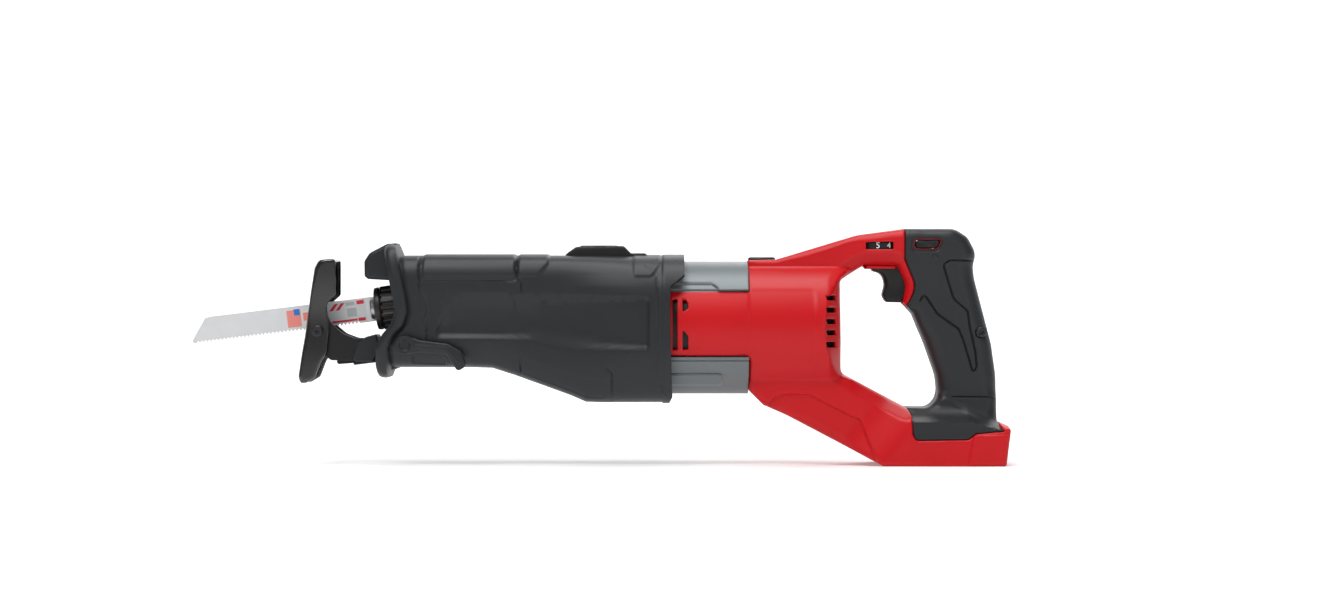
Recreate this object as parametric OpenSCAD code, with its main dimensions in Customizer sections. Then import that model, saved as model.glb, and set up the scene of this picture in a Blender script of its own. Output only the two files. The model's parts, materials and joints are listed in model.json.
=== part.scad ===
// Cordless reciprocating saw, built as separate parts in one frame.
// The blade points along -X, the D-handle is at +X, +Z is up and y = 0 is the mid-plane.
// The origin is the middle of the battery rail's mouth, on the plane that the foot stands on.

/* [Spindle line] */
// Downward tilt of the blade and the spindle, in degrees
spindle_tilt = 7; // [6.5:0.5:7.5]
// Where the spindle line starts, along X
spindle_x = -387.6; // [-388:0.1:-387]
// Height of the spindle line there
spindle_z = 104.7; // [104.5:0.1:105]
// Length of the saw stroke
stroke = 32; // [28:1:32]
// Radius of the spindle bar
spindle_r = 8; // [7.5:0.25:8]

/* [Blade] */
// Reach of the blade in front of the clamp
blade_reach = 122.2; // [100:0.2:124]
// Height of the blade
blade_h = 17; // [15:0.5:17]
// Thickness of the blade
blade_t = 1.3; // [0.9:0.1:1.6]

/* [Motor] */
// Height of the motor axis
motor_z = 92.5; // [92:0.1:93]
// Outer radius of the motor barrel
barrel_r = 43.5; // [43:0.1:43.5]
// Outer radius of the stator
stator_r = 34; // [32:0.5:35]
// Radius of the rotor core
rotor_r = 16.8; // [15:0.1:16.9]

/* [Drive] */
// Teeth of the crank gear
gear_teeth = 40; // [40:1:40]
// Teeth of the motor pinion
pinion_teeth = 11; // [11:1:11]
// Outer radius of the crank gear
gear_r = 28; // [27:0.5:28]
// Throw of the counterweight's eccentric
weight_throw = 8; // [7:0.5:8]

/* [Casings] */
// Wall of the plastic housing halves
wall = 3; // [2.6:0.1:3.2]
// Wall of the rubber boot
boot_t = 3.2; // [3:0.1:3.4]
// Wall of the aluminium gear case
case_t = 3.5; // [3:0.1:3.6]
// Half width of the boot over the gear case
boot_half = 39; // [38.5:0.5:39.5]
// Half width of the upper arm
arm_half = 15; // [15:0.5:16]
// Half width of the grip
grip_half = 17; // [16.5:0.5:17.5]
// Half width of the battery foot
foot_half = 37; // [36:0.5:38]

/* [Hidden] */

$fn = 48;
gap = 0.25;                       // air between parts that only lie side by side
run_gap = 0.05;                   // radial air of a running fit
crank_r = stroke / 2;
crank_u = 161.8;                  // crank axis, measured along the spindle line
roller_r = 6;
// The yoke's slot is wide enough for the pin's sine motion around the coupled straight one
slot_half = roller_r + 0.2105 * crank_r + 0.5;
weight_slot_half = 15 + 0.2105 * weight_throw + 0.5;
dial_x = -42;
dial_z = 148;
dial_r = 16.5;
lever_u = 24.2;
lever_w = -26.2;
shoe_pin_u = -34.8;
shoe_pin_w = -10.1;
shoe_lean = 9;
knob_x = -231;

// ---- Outlines: a corner is [first, second, radius], and corners run counter-clockwise ----
function unit(v) = v / norm(v);
function left_of(d) = [-d[1], d[0]];
function turn_of(a, b) = a[0] * b[1] - a[1] * b[0];
function flat(p) = [p[0], p[1]];

// Corners moved inward by t
function inset(c, t) = [for (i = [0:len(c) - 1])
    let (n = len(c), a = flat(c[(i + n - 1) % n]), b = flat(c[i]), d = flat(c[(i + 1) % n]),
         e = unit(b - a), f = unit(d - b), n1 = left_of(e), n2 = left_of(f),
         p = b + t / (1 + n1 * n2) * (n1 + n2), r = c[i][2])
    [p[0], p[1], r == 0 ? 0 : turn_of(e, f) > 0 ? max(r - t, 0.3) : r + t]];

// The round of corner b between its neighbours a and d
function corner(a, b, d, steps) =
    let (u = unit(flat(a) - flat(b)), v = unit(flat(d) - flat(b)), r = b[2], half = acos(u * v) / 2)
    r == 0 || half > 88 ? [flat(b)] :
    let (o = flat(b) + unit(u + v) * r / sin(half), s = flat(b) + u * r / tan(half) - o,
         sweep = (2 * half - 180) * sign(turn_of(u, v)))
    [for (k = [0:steps]) let (g = sweep * k / steps)
        o + [s[0] * cos(g) - s[1] * sin(g), s[0] * sin(g) + s[1] * cos(g)]];

function rounded(c, steps = 4) =
    [for (i = [0:len(c) - 1]) each corner(c[(i + len(c) - 1) % len(c)], c[i], c[(i + 1) % len(c)], steps)];

// A side outline (x, z) given thickness across Y, with a stepped edge
module slab(c, half, edge = 0, t = 0) {
    rotate([90, 0, 0]) {
        linear_extrude(height = 2 * (half - t - edge), center = true) polygon(rounded(inset(c, t)));
        if (edge > 0)
            linear_extrude(height = 2 * (half - t), center = true)
                polygon(rounded(inset(c, t + edge * 0.6)));
    }
}

// A cross-section (y, z) drawn out along X
module beam(c, x0, x1) {
    translate([x0, 0, 0]) rotate([90, 0, 90]) linear_extrude(height = x1 - x0) polygon(rounded(c));
}

module rod_x(r, x0, x1, z = motor_z) {
    translate([x0, 0, z]) rotate([0, 90, 0]) cylinder(r = r, h = x1 - x0);
}

module ring_x(ro, ri, x0, x1, z = motor_z) {
    difference() {
        rod_x(ro, x0, x1, z);
        rod_x(ri, x0 - 1, x1 + 1, z);
    }
}

// Children drawn along the spindle line: first axis rearward, third axis square to the line
module on_spindle() {
    translate([spindle_x, 0, spindle_z]) rotate([0, -spindle_tilt, 0]) children();
}

module on_crank() {
    on_spindle() translate([crank_u, 0, 0]) children();
}

module on_shoe() {
    on_spindle() translate([shoe_pin_u, 0, shoe_pin_w]) rotate([0, spindle_tilt - shoe_lean, 0]) children();
}

module rod_u(r, u0, u1) {
    translate([u0, 0, 0]) rotate([0, 90, 0]) cylinder(r = r, h = u1 - u0);
}

module box3(lo, hi) {
    translate(lo) cube(hi - lo);
}

module side_of(s) {
    box3([-520, s < 0 ? -100 : 0, -20], [60, s < 0 ? 0 : 100, 190]);
}

// ---- Rubber boot ----
boot_front = -366;
boot_rear = -182;
front_section = [[-boot_half, 66, 18], [boot_half, 66, 18], [boot_half, 142, 24], [-boot_half, 142, 24]];
rear_section = [[-boot_half - 1, 42.2, 26], [boot_half + 1, 42.2, 26],
    [boot_half + 1, 142, 26], [-boot_half - 1, 142, 26]];
lever_in = 40.1;
lever_room = [[-9.4, -3, 0], [-6.5, -9.2, 0], [-3.4, -18.3, 0], [9, -18.3, 0], [12, 0, 0], [8, 8, 0], [0, 10, 0],
    [-8, 6.4, 0]];
collar_front = -206;
collar_half = 47.5;
collar_section = [[-collar_half, 42.2, 38], [collar_half, 42.2, 38],
    [collar_half, 142, 38], [-collar_half, 142, 38]];
belly_outline = [[-238, 42.2, 8], [-182, 42.2, 0], [-182, 104, 0], [-304, 104, 0], [-304, 66, 0]];
flange_outline = [[-375.5, 57, 2], [-366, 65, 3], [-358, 66.1, 0], [-358, 142, 0], [-364, 150.3, 4],
    [-376, 148.5, 4], [-373, 128, 8], [-366.5, 112, 14], [-371, 96, 10], [-379.5, 84, 6], [-380.5, 68, 8]];
visor_outline = [[-387.5, 126, 3], [-371, 126, 0], [-371, 146.5, 0], [-381, 146.5, 5], [-389, 138, 4]];

module boot_body(t = 0) {
    beam(inset(front_section, t), boot_front - (t > 0 ? 10 : 0), boot_rear + (t > 0 ? 1 : 0));
    beam(inset(collar_section, t), collar_front + t, boot_rear + (t > 0 ? 1 : 0));
    intersection() {
        beam(inset(rear_section, t), -305, boot_rear + (t > 0 ? 1 : 0));
        slab(inset(concat([belly_outline[0]], [[t > 0 ? -170 : -182, 42.2, 0], [t > 0 ? -170 : -182, 104, 0]],
            [belly_outline[3], belly_outline[4]]), t), 60);
    }
}

// The open front around the blade clamp and the shoe's post
module mouth(grow = 0) {
    on_spindle() {
        rod_u(19.5 + grow, -40, 42);
        box3([-40, -17.5 - grow, -38.4 - grow], [42, 17.5 + grow, 0]);
    }
}

module rubber_boot() {
    color("#35373a") difference() {
        union() {
            boot_body();
            slab(flange_outline, 43, 2);
            slab(visor_outline, 20, 2);
            translate([knob_x - 17, 0, 0]) beam([[-20, 138, 0], [20, 138, 0], [20, 146.2, 5], [-20, 146.2, 5]], -4, 40);
        }
        difference() {
            boot_body(boot_t);
            box3([-400, -60, 0], [-361, 60, 200]);
        }
        mouth();
        translate([knob_x, 0, 120]) cylinder(r = 16.5, h = 60);
        on_spindle() translate([lever_u, 0, lever_w]) rotate([90, 0, 0]) cylinder(r = 6.5, h = 60);
        // room for the release lever to swing down
        on_spindle() translate([lever_u, -lever_in - 10, lever_w]) rotate([0, spindle_tilt, 0])
            slab(lever_room, 10);
        light_pocket(gap);
    }
}

module light_pocket(grow) {
    translate([-389.5, 0, 132]) rotate([0, 90, 0]) cylinder(r = 4 + grow, h = 6 + grow);
}

module work_light_lens() {
    color("#e8eef2") light_pocket_body();
}

module light_pocket_body() {
    difference() {
        light_pocket(0);
        box3([-400, -10, 120], [-387.4, 10, 140]);
    }
}

// ---- Gear case ----
case_inset = boot_t + gap;
case_front = -358;
case_rear = -135;
diaphragm = [-192, -180];

nose_half = 24;
module case_outer() {
    intersection() {
        boot_body(case_inset);
        union() {
            box3([-266, -60, 0], [diaphragm[1] - 4, 60, 200]);
            beam([[-nose_half, 71, 8], [nose_half, 71, 8], [nose_half, 136, 12], [-nose_half, 136, 12]], case_front, -260);
        }
    }
    difference() {
        rod_x(barrel_r - 0.3, diaphragm[0], case_rear);
        rod_x(barrel_r - 4, diaphragm[1], case_rear + 1);
        // windows for the housing's side tongues
        box3([-185, -60, motor_z - 23], [case_rear + 1, 60, motor_z + 23]);
    }
}

module case_chamber() {
    intersection() {
        boot_body(case_inset + case_t);
        box3([-262, -60, 0], [diaphragm[0], 60, 200]);
    }
}

module case_supports() {
    on_spindle() box3([118, -36, -41], [179, 36, -30.4]);
    on_crank() translate([0, 0, -90]) cylinder(r = 17, h = 31.4);
}

// Shank, head and countersink of a cross screw: [x, z, half length, side of the head]
case_screw_places = [[-306, 131, 18, -1], [-285, 75.4, 18, -1], [-186, 126.5, 20, -1], [-186, 58.5, 20, -1]];

module cross_screw(p, grow) {
    translate([p[0], 0, p[1]]) rotate([p[3] < 0 ? 90 : -90, 0, 0]) {
        translate([0, 0, -p[2] - grow]) cylinder(r = 2.5 + grow, h = 2 * p[2] + 2 * grow);
        translate([0, 0, p[2]]) cylinder(r = 4.3 + grow, h = grow > 0 ? 30 : 3);
    }
}

module gear_case() {
    difference() {
        union() {
            difference() {
                case_outer();
                case_chamber();
            }
            intersection() {
                case_outer();
                case_supports();
            }
        }
        mouth();
        // spindle passage and its bushing seats
        on_spindle() {
            rod_u(spindle_r + 0.8, 30, 140);
            rod_u(12, 46, 66);
            rod_u(12, 98, 122);
            rod_u(11, 42, 46);
            box3([-20, -9.4, -36.4], [130, 9.4, -21.6]);
            translate([lever_u, 0, lever_w]) rotate([90, 0, 0]) cylinder(r = 4 + run_gap, h = 60);
            translate([lever_u, 0, lever_w]) rotate([90, 0, 0]) cylinder(r = 6.2, h = 16.5);
        }
        // crank bearings and shaft
        on_crank() {
            translate([0, 0, -40]) cylinder(r = 14, h = 20);
            translate([0, 0, -66]) cylinder(r = 12, h = 30);
            translate([0, 0, -70]) cylinder(r = 8, h = 20);
            translate([0, 0, -50]) cylinder(r = 8, h = 20);
        }
        // front motor bearing
        rod_x(13, -189, -181);
        rod_x(6.5, -200, -170);
        rod_x(11, -182, -170);
        // orbit selector
        translate([knob_x, 0, 120]) cylinder(r = 5 + run_gap, h = 60);
        for (p = case_screw_places) cross_screw(p, 0.1);
        // exhaust gap in front of the fan
        for (s = [-1, 1]) box3([-178, s * 46 - 9, motor_z + 27], [-168, s * 46 + 9, motor_z + 31]);
    }
}

module gear_case_left() {
    color("#7e8184") intersection() {
        gear_case();
        side_of(-1);
    }
}

module gear_case_right() {
    color("#7e8184") intersection() {
        gear_case();
        side_of(1);
    }
}

module gear_case_screws() {
    color("silver") for (p = case_screw_places) cross_screw(p, 0);
}

// ---- Housing halves ----
upper_arm = [[-128, 118, 0], [-80, 118, 0], [-69, 126, 4], [-52, 135.2, 3], [-14, 135.2, 0],
    [-14, 160.5, 0], [-36, 160.5, 18], [-52, 158, 30], [-84, 149.3, 40], [-112, 140.6, 40], [-128, 138.8, 0]];
lower_arm = [[-47, 0, 6], [-32, 0, 0], [-22, 20, 0], [-22, 39.2, 0], [-33, 42.6, 6], [-66.5, 60.5, 5],
    [-72, 70, 0], [-110, 78, 0], [-130, 60, 0], [-130, 46.5, 0], [-118, 40, 20]];
column = [[-100, 52, 0], [-80, 52, 0], [-67.5, 60, 0], [-67.5, 125, 6], [-80, 132, 4], [-100, 132, 0]];
foot = [[-46, 0, 5], [41.5, 0, 1.5], [44.8, 24, 3], [36.5, 30, 3], [-19, 22, 6], [-46, 12, 0]];
grip = [[-22, 17.2, 4], [17.5, 17.2, 1], [21, 22.8, 2], [37.5, 23, 1], [37.2, 62, 40], [34, 90, 60],
    [24.6, 122, 60], [21, 134, 20], [23, 148, 12], [12, 160.5, 16], [-26, 160.5, 0], [-26, 137, 0], [-19.5, 125, 12],
    [-20, 111, 8], [-25.8, 106.6, 1], [-13.4, 83, 60], [-4.8, 60, 50], [-2.5, 42, 8], [-24, 38.6, 1], [-22, 28, 6]];
lip = [[-32, 134, 0], [-20, 111, 0], [-15, 111, 0], [-15, 140, 0], [-32, 140, 0]];
grip_skin = 2.5;
lower_half = 26;
// Housing screws: [x, z, half length, side of the head, half length of the posts]
screw_places = [[26, 89.5, 10, -1, 13], [-2, 30, 11, 1, 13.6], [-84, 68, 17, 1, 31], [-41, 22, 14, 1, 18.6],
    [-90, 140, 10, 1, 13.6], [8.5, 147.5, 10, 1, 13]];

// The whole outside (t = 0), or the hollow inside it (t = wall)
module housing_body(t = 0) {
    slab(upper_arm, arm_half, t > 0 ? 0 : 3, t > 0 ? t + 1.2 : 0);
    slab(lower_arm, lower_half, t > 0 ? 0 : 4, t > 0 ? t + 1.6 : 0);
    slab(column, 33, t > 0 ? 0 : 6, t > 0 ? t + 2.4 : 0);
    slab(foot, foot_half, t > 0 ? 0 : 3, t > 0 ? t + 1.2 : 0);
    slab(grip, grip_half - gap, 0, grip_skin + gap + t);
}

module barrel() {
    difference() {
        union() {
            rod_x(barrel_r, -183.7, -92);
            rod_x(barrel_r - 5, -93, -82);
        }
        // the gear case shows above and below the side tongues
        box3([-190, -60, motor_z + 22.7], [-132, 60, motor_z + 60]);
        box3([-190, -60, motor_z - 60], [-132, 60, motor_z - 22.7]);
    }
}

module housing() {
    difference() {
        union() {
            difference() {
                union() {
                    housing_body();
                    barrel();
                    slab(lip, 9.5);
                }
                housing_body(wall);
                rod_x(barrel_r - wall, -200, -95);
                rod_x(barrel_r - 5 - wall, -96, -85);
            }
            // stator clasp rings and rear bearing wall
            ring_x(barrel_r - 4.2, stator_r + 0.05, -156, -150);
            intersection() {
                ring_x(barrel_r - 1.5, stator_r + 1, -156, -150);
                box3([-157, -60, motor_z - 22.5], [-149, 60, motor_z + 22.5]);
            }
            ring_x(barrel_r - 1.5, stator_r + 0.05, -122, -116);
            ring_x(barrel_r - 1.5, 11, -105, -95);
            for (p = screw_places) translate([p[0], 0, p[1]]) rotate([90, 0, 0])
                cylinder(r = 5, h = 2 * p[4], center = true);
            // roof and side walls of the battery pocket
            box3([-34, -35.4, 12.5], [42, 35.4, 15]);
            box3([-34, -35.4, 0.8], [-31, 35.4, 13]);
            for (s = [-1, 1]) box3([-34, s < 0 ? -35.4 : 31, 0.8], [42, s < 0 ? -31 : 35.4, 13]);
        }
        // air passages in the bearing wall
        for (a = [30:60:330]) translate([0, 0, motor_z]) rotate([a, 0, 0]) translate([-110, 0, 25])
            rotate([0, 90, 0]) cylinder(r = 5, h = 20);
        rod_x(9, -108, -94);
        box3([-106, -7.5, motor_z - 28.5], [-94, 7.5, motor_z - 23.7]);
        // rear intake slots, on both sides
        for (k = [0:4]) box3([-81.5, -60, 78.6 + 7.8 * k], [-70.5, 60, 82.6 + 7.8 * k]);
        // exhaust slots in the tongues
        box3([-182.5, -60, 78], [-179, 60, 112]);
        box3([-175.5, -60, 103], [-172.5, 60, 112]);
        box3([-175.5, -60, 78], [-172.5, 60, 91]);
        // trigger window
        box3([-50, -8.6, 108.2], [-8, 8.6, 138.2]);
        // lock button tunnel
        box3([-19.4, -60, 145.8], [0.1, 60, 152.2]);
        // speed dial pocket
        translate([dial_x, 0, dial_z - 3.2]) cylinder(r = dial_r + 0.5, h = 6.4);
        // top pad pocket
        box3([-130.7, -9.2, 137.2], [-112.3, 9.2, 142]);
        // slot for the motor leads
        box3([-94.2, -7.5, 47.5], [-89.8, 7.5, 58.5]);
        // battery pocket and its mouth between the two rails
        box3([-31, -31, 3], [60, 31, 12.5]);
        box3([-31, -25, -1], [60, 25, 4]);
        for (p = screw_places) cross_screw(p, 0.1);
    }
}

module housing_half(s) {
    color("#c8141f") intersection() {
        housing();
        side_of(s);
    }
}

module housing_left() {
    housing_half(-1);
}

module housing_right() {
    housing_half(1);
}

module housing_screws() {
    color("#4a4c4e") for (p = screw_places) cross_screw(p, 0);
}

module grip_cover(s) {
    color("#303236") intersection() {
        difference() {
            slab(grip, grip_half, 2.5);
            slab(grip, grip_half, 0, grip_skin);
            box3([-33, -60, 100], [-15, 60, 142]);
            box3([-26.1, -14.9, 130], [-20, 14.9, 170]);
            slab(upper_arm, arm_half + 0.1, 2);
            slab(lower_arm, lower_half + 0.1, 3);
            slab(foot, foot_half + 0.1, 2);
            box3([-20.6, -60, 144.6], [1.3, 60, 153.4]);
            box3([-60, -8.6, 100], [-8, 8.6, 138.2]);
            for (p = screw_places) translate([p[0], 0, p[1]]) rotate([p[3] < 0 ? 90 : -90, 0, 0]) cylinder(r = 4.6, h = 90);
        }
        side_of(s);
    }
}

module grip_cover_left() {
    grip_cover(-1);
}

module grip_cover_right() {
    grip_cover(1);
}

module top_pad() {
    color("#222426") box3([-130.5, -9, 137.3], [-112.5, 9, 140.3]);
}

// ---- Motor ----
module stator_core() {
    color("#8a8d90") difference() {
        ring_x(stator_r, rotor_r + 0.6, -160, -112);
        for (a = [0:30:330]) translate([0, 0, motor_z]) rotate([a, 0, 0])
            box3([-161, -2.2, rotor_r + 3], [-111, 2.2, stator_r - 5]);
    }
}

module stator_windings() {
    color("#b5652b") {
        for (a = [0:30:330]) translate([0, 0, motor_z]) rotate([a, 0, 0])
            box3([-160.5, -2.1, rotor_r + 3.2], [-111.5, 2.1, stator_r - 5.2]);
        ring_x(stator_r - 4, rotor_r + 2.4, -165.5, -160.05);
        ring_x(stator_r - 4, rotor_r + 2.4, -111.95, -107);
    }
}

module bearing(ro, ri, x0, x1) {
    color("silver") difference() {
        ring_x(ro - 0.02, ri, x0, x1);
        for (x = [x0 - 1, x1 - 0.6]) ring_x(ro - 2.4, ri + 1.8, x, x + 1.6);
    }
}

module motor_front_bearing() {
    bearing(13, 5 + run_gap, -189, -181);
}

module motor_rear_bearing() {
    bearing(11, 4 + run_gap, -103, -96);
}

module sensor_board() {
    color("#1f5a3c") ring_x(23.5, 7, -94.6, -93);
}

module rotor_shaft() {
    color("silver") {
        rod_x(5, -203, -104);
        rod_x(4, -104, -95.6);
    }
}

module rotor_core() {
    color("#74777a") ring_x(13.4, 5, -158, -114);
}

module rotor_magnets() {
    color("#3d4043") difference() {
        ring_x(rotor_r, 13.4, -157, -115);
        for (a = [0:90:270]) translate([0, 0, motor_z]) rotate([a, 0, 0]) box3([-158, -0.8, 12], [-114, 0.8, 20]);
    }
}

module cooling_fan() {
    color("#1d1f21") difference() {
        union() {
            rod_x(9, -178, -168);
            rod_x(36, -169.6, -167.6);
            for (k = [0:10]) translate([0, 0, motor_z]) rotate([k * 360 / 11, 0, 0])
                box3([-177, -0.8, 8], [-169, 0.8, 35.6]);
        }
        rod_x(5, -180, -166);
    }
}

// Bevel teeth: the gear carries them under its rim, the pinion on its cone
module bevel_pinion() {
    color("silver") translate([0, 0, motor_z]) difference() {
        union() {
            translate([-202.6, 0, 0]) rotate([0, 90, 0]) cylinder(r1 = 5.7, r2 = 6.5, h = 6.6);
            for (k = [0:pinion_teeth - 1]) rotate([k * 360 / pinion_teeth, 0, 0])
                translate([-202.4, -0.6, 5.4]) rotate([0, -spindle_tilt, 0]) cube([6.2, 1.2, 1.75]);
        }
        translate([-210, 0, 0]) rotate([0, 90, 0]) cylinder(r = 5, h = 20);
    }
}

// ---- Crank and counterweight ----
module crank_gear() {
    color("#9a9da0") on_crank() difference() {
        union() {
            translate([0, 0, -27]) cylinder(r = gear_r, h = 8);
            translate([0, crank_r, -19]) cylinder(r = 8, h = 6);
            translate([0, crank_r, -13.5]) cylinder(r = 4, h = 16);
            translate([0, 0, -30]) cylinder(r = 9, h = 4);
            for (k = [0:gear_teeth - 1]) rotate([0, 0, (k + 0.5) * 360 / gear_teeth])
                translate([21.5, -0.6, -28.6]) cube([gear_r - 22, 1.2, 2]);
        }
        translate([0, 0, -60]) cylinder(r = 6, h = 60 - 22);
        for (a = [150:60:390]) rotate([0, 0, a + 90]) translate([15.5, 0, -28]) cylinder(r = 3.6, h = 12);
    }
}

module crank_shaft() {
    color("silver") on_crank() {
        translate([0, 0, -57.6]) cylinder(r = 6, h = 35.6);
        translate([0, 0, -67]) cylinder(r = 5, h = 9.4);
        translate([0, -weight_throw, -54]) cylinder(r = 15, h = 10);
    }
}

module crank_roller() {
    color("silver") on_crank() translate([0, crank_r, -8.4]) difference() {
        cylinder(r = roller_r, h = 10);
        translate([0, 0, -1]) cylinder(r = 4, h = 12);
    }
}

module crank_upper_bearing() {
    color("silver") on_crank() translate([0, 0, -39.9]) difference() {
        cylinder(r = 13.98, h = 9);
        translate([0, 0, -1]) cylinder(r = 6 + run_gap, h = 12);
    }
}

module crank_lower_bearing() {
    color("silver") on_crank() translate([0, 0, -65.9]) difference() {
        cylinder(r = 11.98, h = 7);
        translate([0, 0, -1]) cylinder(r = 5 + run_gap, h = 12);
    }
}

module counterweight() {
    color("#6f7275") on_crank() translate([0, 0, -53.4]) difference() {
        box3([-29, -28, 0], [20.3, 28, 8.8]);
        box3([-weight_slot_half, -15 - weight_throw - 0.6, -1], [weight_slot_half, 15 + weight_throw + 0.6, 12]);
    }
}

// ---- Spindle ----
module spindle_front_bushing() {
    color("#b08d4a") on_spindle() difference() {
        rod_u(11.98, 46, 66);
        rod_u(spindle_r + run_gap, 40, 70);
    }
}

module spindle_rear_bushing() {
    color("#b08d4a") on_spindle() difference() {
        rod_u(11.98, 98, 122);
        rod_u(spindle_r + run_gap, 90, 130);
    }
}

module spindle_seal() {
    color("#1c1c1e") on_spindle() difference() {
        rod_u(10.98, 42.2, 45.9);
        rod_u(spindle_r + 0.1, 40, 50);
    }
}

module spindle_bar() {
    color("silver") on_spindle() difference() {
        rod_u(spindle_r, 18, crank_u - slot_half - 4);
        box3([17, -blade_t / 2 - 0.1, -6.2], [24, blade_t / 2 + 0.1, 6.2]);
    }
}

module yoke_block() {
    color("#8f9295") on_crank() difference() {
        box3([-slot_half - 4, -25.6, -8], [slot_half + 4, 25.6, 2.6]);
        box3([-slot_half, -crank_r - roller_r - 0.8, -9], [slot_half, crank_r + roller_r + 0.8, 4]);
    }
}

module clamp_core() {
    color("silver") on_spindle() difference() {
        union() {
            rod_u(10, 1, 17.9);
            translate([-3, 0, 0]) rotate([0, 90, 0]) cylinder(r1 = 7.5, r2 = 10, h = 4);
        }
        box3([-5, -blade_t / 2 - 0.1, -blade_h / 2 - 0.3], [10.2, blade_t / 2 + 0.1, blade_h / 2 + 0.3]);
        box3([10, -blade_t / 2 - 0.1, -6.4], [20, blade_t / 2 + 0.1, 6.4]);
        translate([13, 12, 0]) rotate([90, 0, 0]) cylinder(r = 2.2, h = 24);
    }
}

module blade_lock_pin() {
    color("gray") on_spindle() translate([13, 9.6, 0]) rotate([90, 0, 0]) cylinder(r = 2.15, h = 19.2);
}

module collar_spring() {
    color("gray") on_spindle() difference() {
        rod_u(12.2, 8, 16);
        rod_u(10.1, 7, 17);
        box3([9.5, -20, -20], [10.3, 20, 20]);
        box3([12.5, -20, -20], [13.3, 20, 20]);
    }
}

module clamp_collar() {
    color("#2a2624") on_spindle() difference() {
        union() {
            rod_u(14.2, 1.6, 22);
            for (k = [0:17]) rotate([k * 20, 0, 0]) box3([3, -1.2, 13], [20.5, 1.2, 15]);
        }
        rod_u(10 + run_gap, 0, 7);
        rod_u(12.6, 6.9, 17);
        rod_u(spindle_r + 0.2, 16, 30);
        rod_u(10.4, 16.9, 18.4);
    }
}

// The blade: a straight bar with a slanted nose, a stepped tang and a toothed lower edge
teeth_pitch = 4.2;
module saw_blade() {
    h = blade_h / 2;
    teeth = floor((blade_reach - 34) / teeth_pitch);
    color("#d5d8db") on_spindle() rotate([90, 0, 0]) linear_extrude(height = blade_t, center = true)
        difference() {
            polygon(concat(
                [[-blade_reach, -h + 3.5], [-blade_reach + 2, -h]],
                [for (k = [0:teeth - 1]) each [[-blade_reach + 4 + k * teeth_pitch, -h],
                    [-blade_reach + 5.4 + k * teeth_pitch, -h + 1.5], [-blade_reach + 7.6 + k * teeth_pitch, -h]]],
                [[9.8, -h], [9.8, -6], [17.4, -6], [17.4, 6], [9.8, 6], [9.8, h], [-blade_reach + 10, h]]));
            translate([13, 0]) circle(r = 2.3);
        }
}

// ---- Orbit selector ----
module orbit_knob() {
    color("#3b3d40") translate([knob_x, 0, 0]) {
        translate([0, 0, 142.2]) cylinder(r = 15.6, h = 4.4);
        box3([-14, -4, 146.4], [14, 4, 148.3]);
    }
}

module orbit_cam_shaft() {
    color("silver") translate([knob_x, 0, 0]) difference() {
        translate([0, 0, 133.2]) cylinder(r = 5, h = 9);
        box3([-6, 2.2, 132], [6, 6, 135]);
    }
}

// ---- Shoe ----
module shoe_post() {
    color("#7c7f82") on_spindle() difference() {
        box3([-14, -9, -36], [124, 9, -22]);
        // notches that the release cam drops into
        for (k = [0:3]) box3([16 + k * 9, -10, -30], [22 + k * 9, -7.2, -22.4]);
    }
}

bracket_arm = [[-41, -13, 3], [-31, -34, 6], [-14, -36.2, 3], [-14, -21.8, 1], [-19, -22, 3], [-27.6, -9, 5],
    [-34.8, -3.6, 4], [-40.6, -6, 2]];
module shoe_bracket() {
    color("#1c1d1f") on_spindle() {
        for (s = [-1, 1]) difference() {
            translate([0, s * 13, 0]) slab(bracket_arm, 3);
            translate([shoe_pin_u, 30, shoe_pin_w]) rotate([90, 0, 0]) cylinder(r = 3, h = 60);
        }
        box3([-26, -10, -34], [-14, 10, -24]);
        box3([-14.2, 9.05, -36], [7, 12, -23]);
        box3([-14.2, -12, -36], [7, -9.05, -23]);
    }
}

module shoe_pins() {
    color("silver") on_spindle() for (s = [-1, 1]) translate([shoe_pin_u, s * 16.2, shoe_pin_w])
        rotate([90, 0, 0]) cylinder(r = 2.98, h = 12.2, center = true);
}

shoe_side = [[-10.5, -36, 3], [-5, -36, 3], [7, -12, 20], [8, 6, 14], [3.5, 22, 30], [6, 44, 6], [1, 49.5, 5],
    [-9.5, 49.5, 5], [-10.5, 30, 0]];
shoe_half = 20;
module shoe_plate() {
    color("#141516") on_shoe() difference() {
        union() {
            slab(shoe_side, shoe_half);
        }
        slab([[-8.3, -40, 0], [20, -40, 0], [20, 60, 0], [-8.3, 60, 0]], shoe_half - 2.4);
        // blade slot
        box3([-12, -5, -9], [-6, 5, 37]);
        translate([0, 30, 0]) rotate([90, 0, 0]) cylinder(r = 3 + run_gap, h = 60);
    }
}

// ---- Shoe release lever ----
lever_arm = [[-6, -4, 4], [6, -5.5, 2], [30, -6, 6], [36, -16.5, 2], [42, -17, 3], [41.5, -6, 5], [35, 2.5, 7], [4, 6, 3],
    [-6, 6, 5]];
module shoe_lever() {
    color("#2f3134") on_spindle() translate([lever_u, 0, lever_w]) rotate([0, spindle_tilt, 0])
        difference() {
            union() {
                translate([0, -39.6, 0]) rotate([90, 0, 0]) cylinder(r = 6.4, h = 6.6);
                translate([0, -42.9, 0]) slab(lever_arm, 2.6);
            }
            translate([0, -30, 0]) rotate([90, 0, 0]) cylinder(r = 3.95, h = 14.4);
        }
}

module lever_shaft() {
    color("silver") on_spindle() translate([lever_u, 0, lever_w]) {
        translate([0, -9.6, 0]) rotate([90, 0, 0]) cylinder(r = 3.95, h = 34.6);
        difference() {
            translate([0, -9.6, 0]) rotate([90, 0, 0]) cylinder(r = 6, h = 6);
            box3([-10, -20, -10], [-3, 0, 10]);
        }
    }
}

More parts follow.
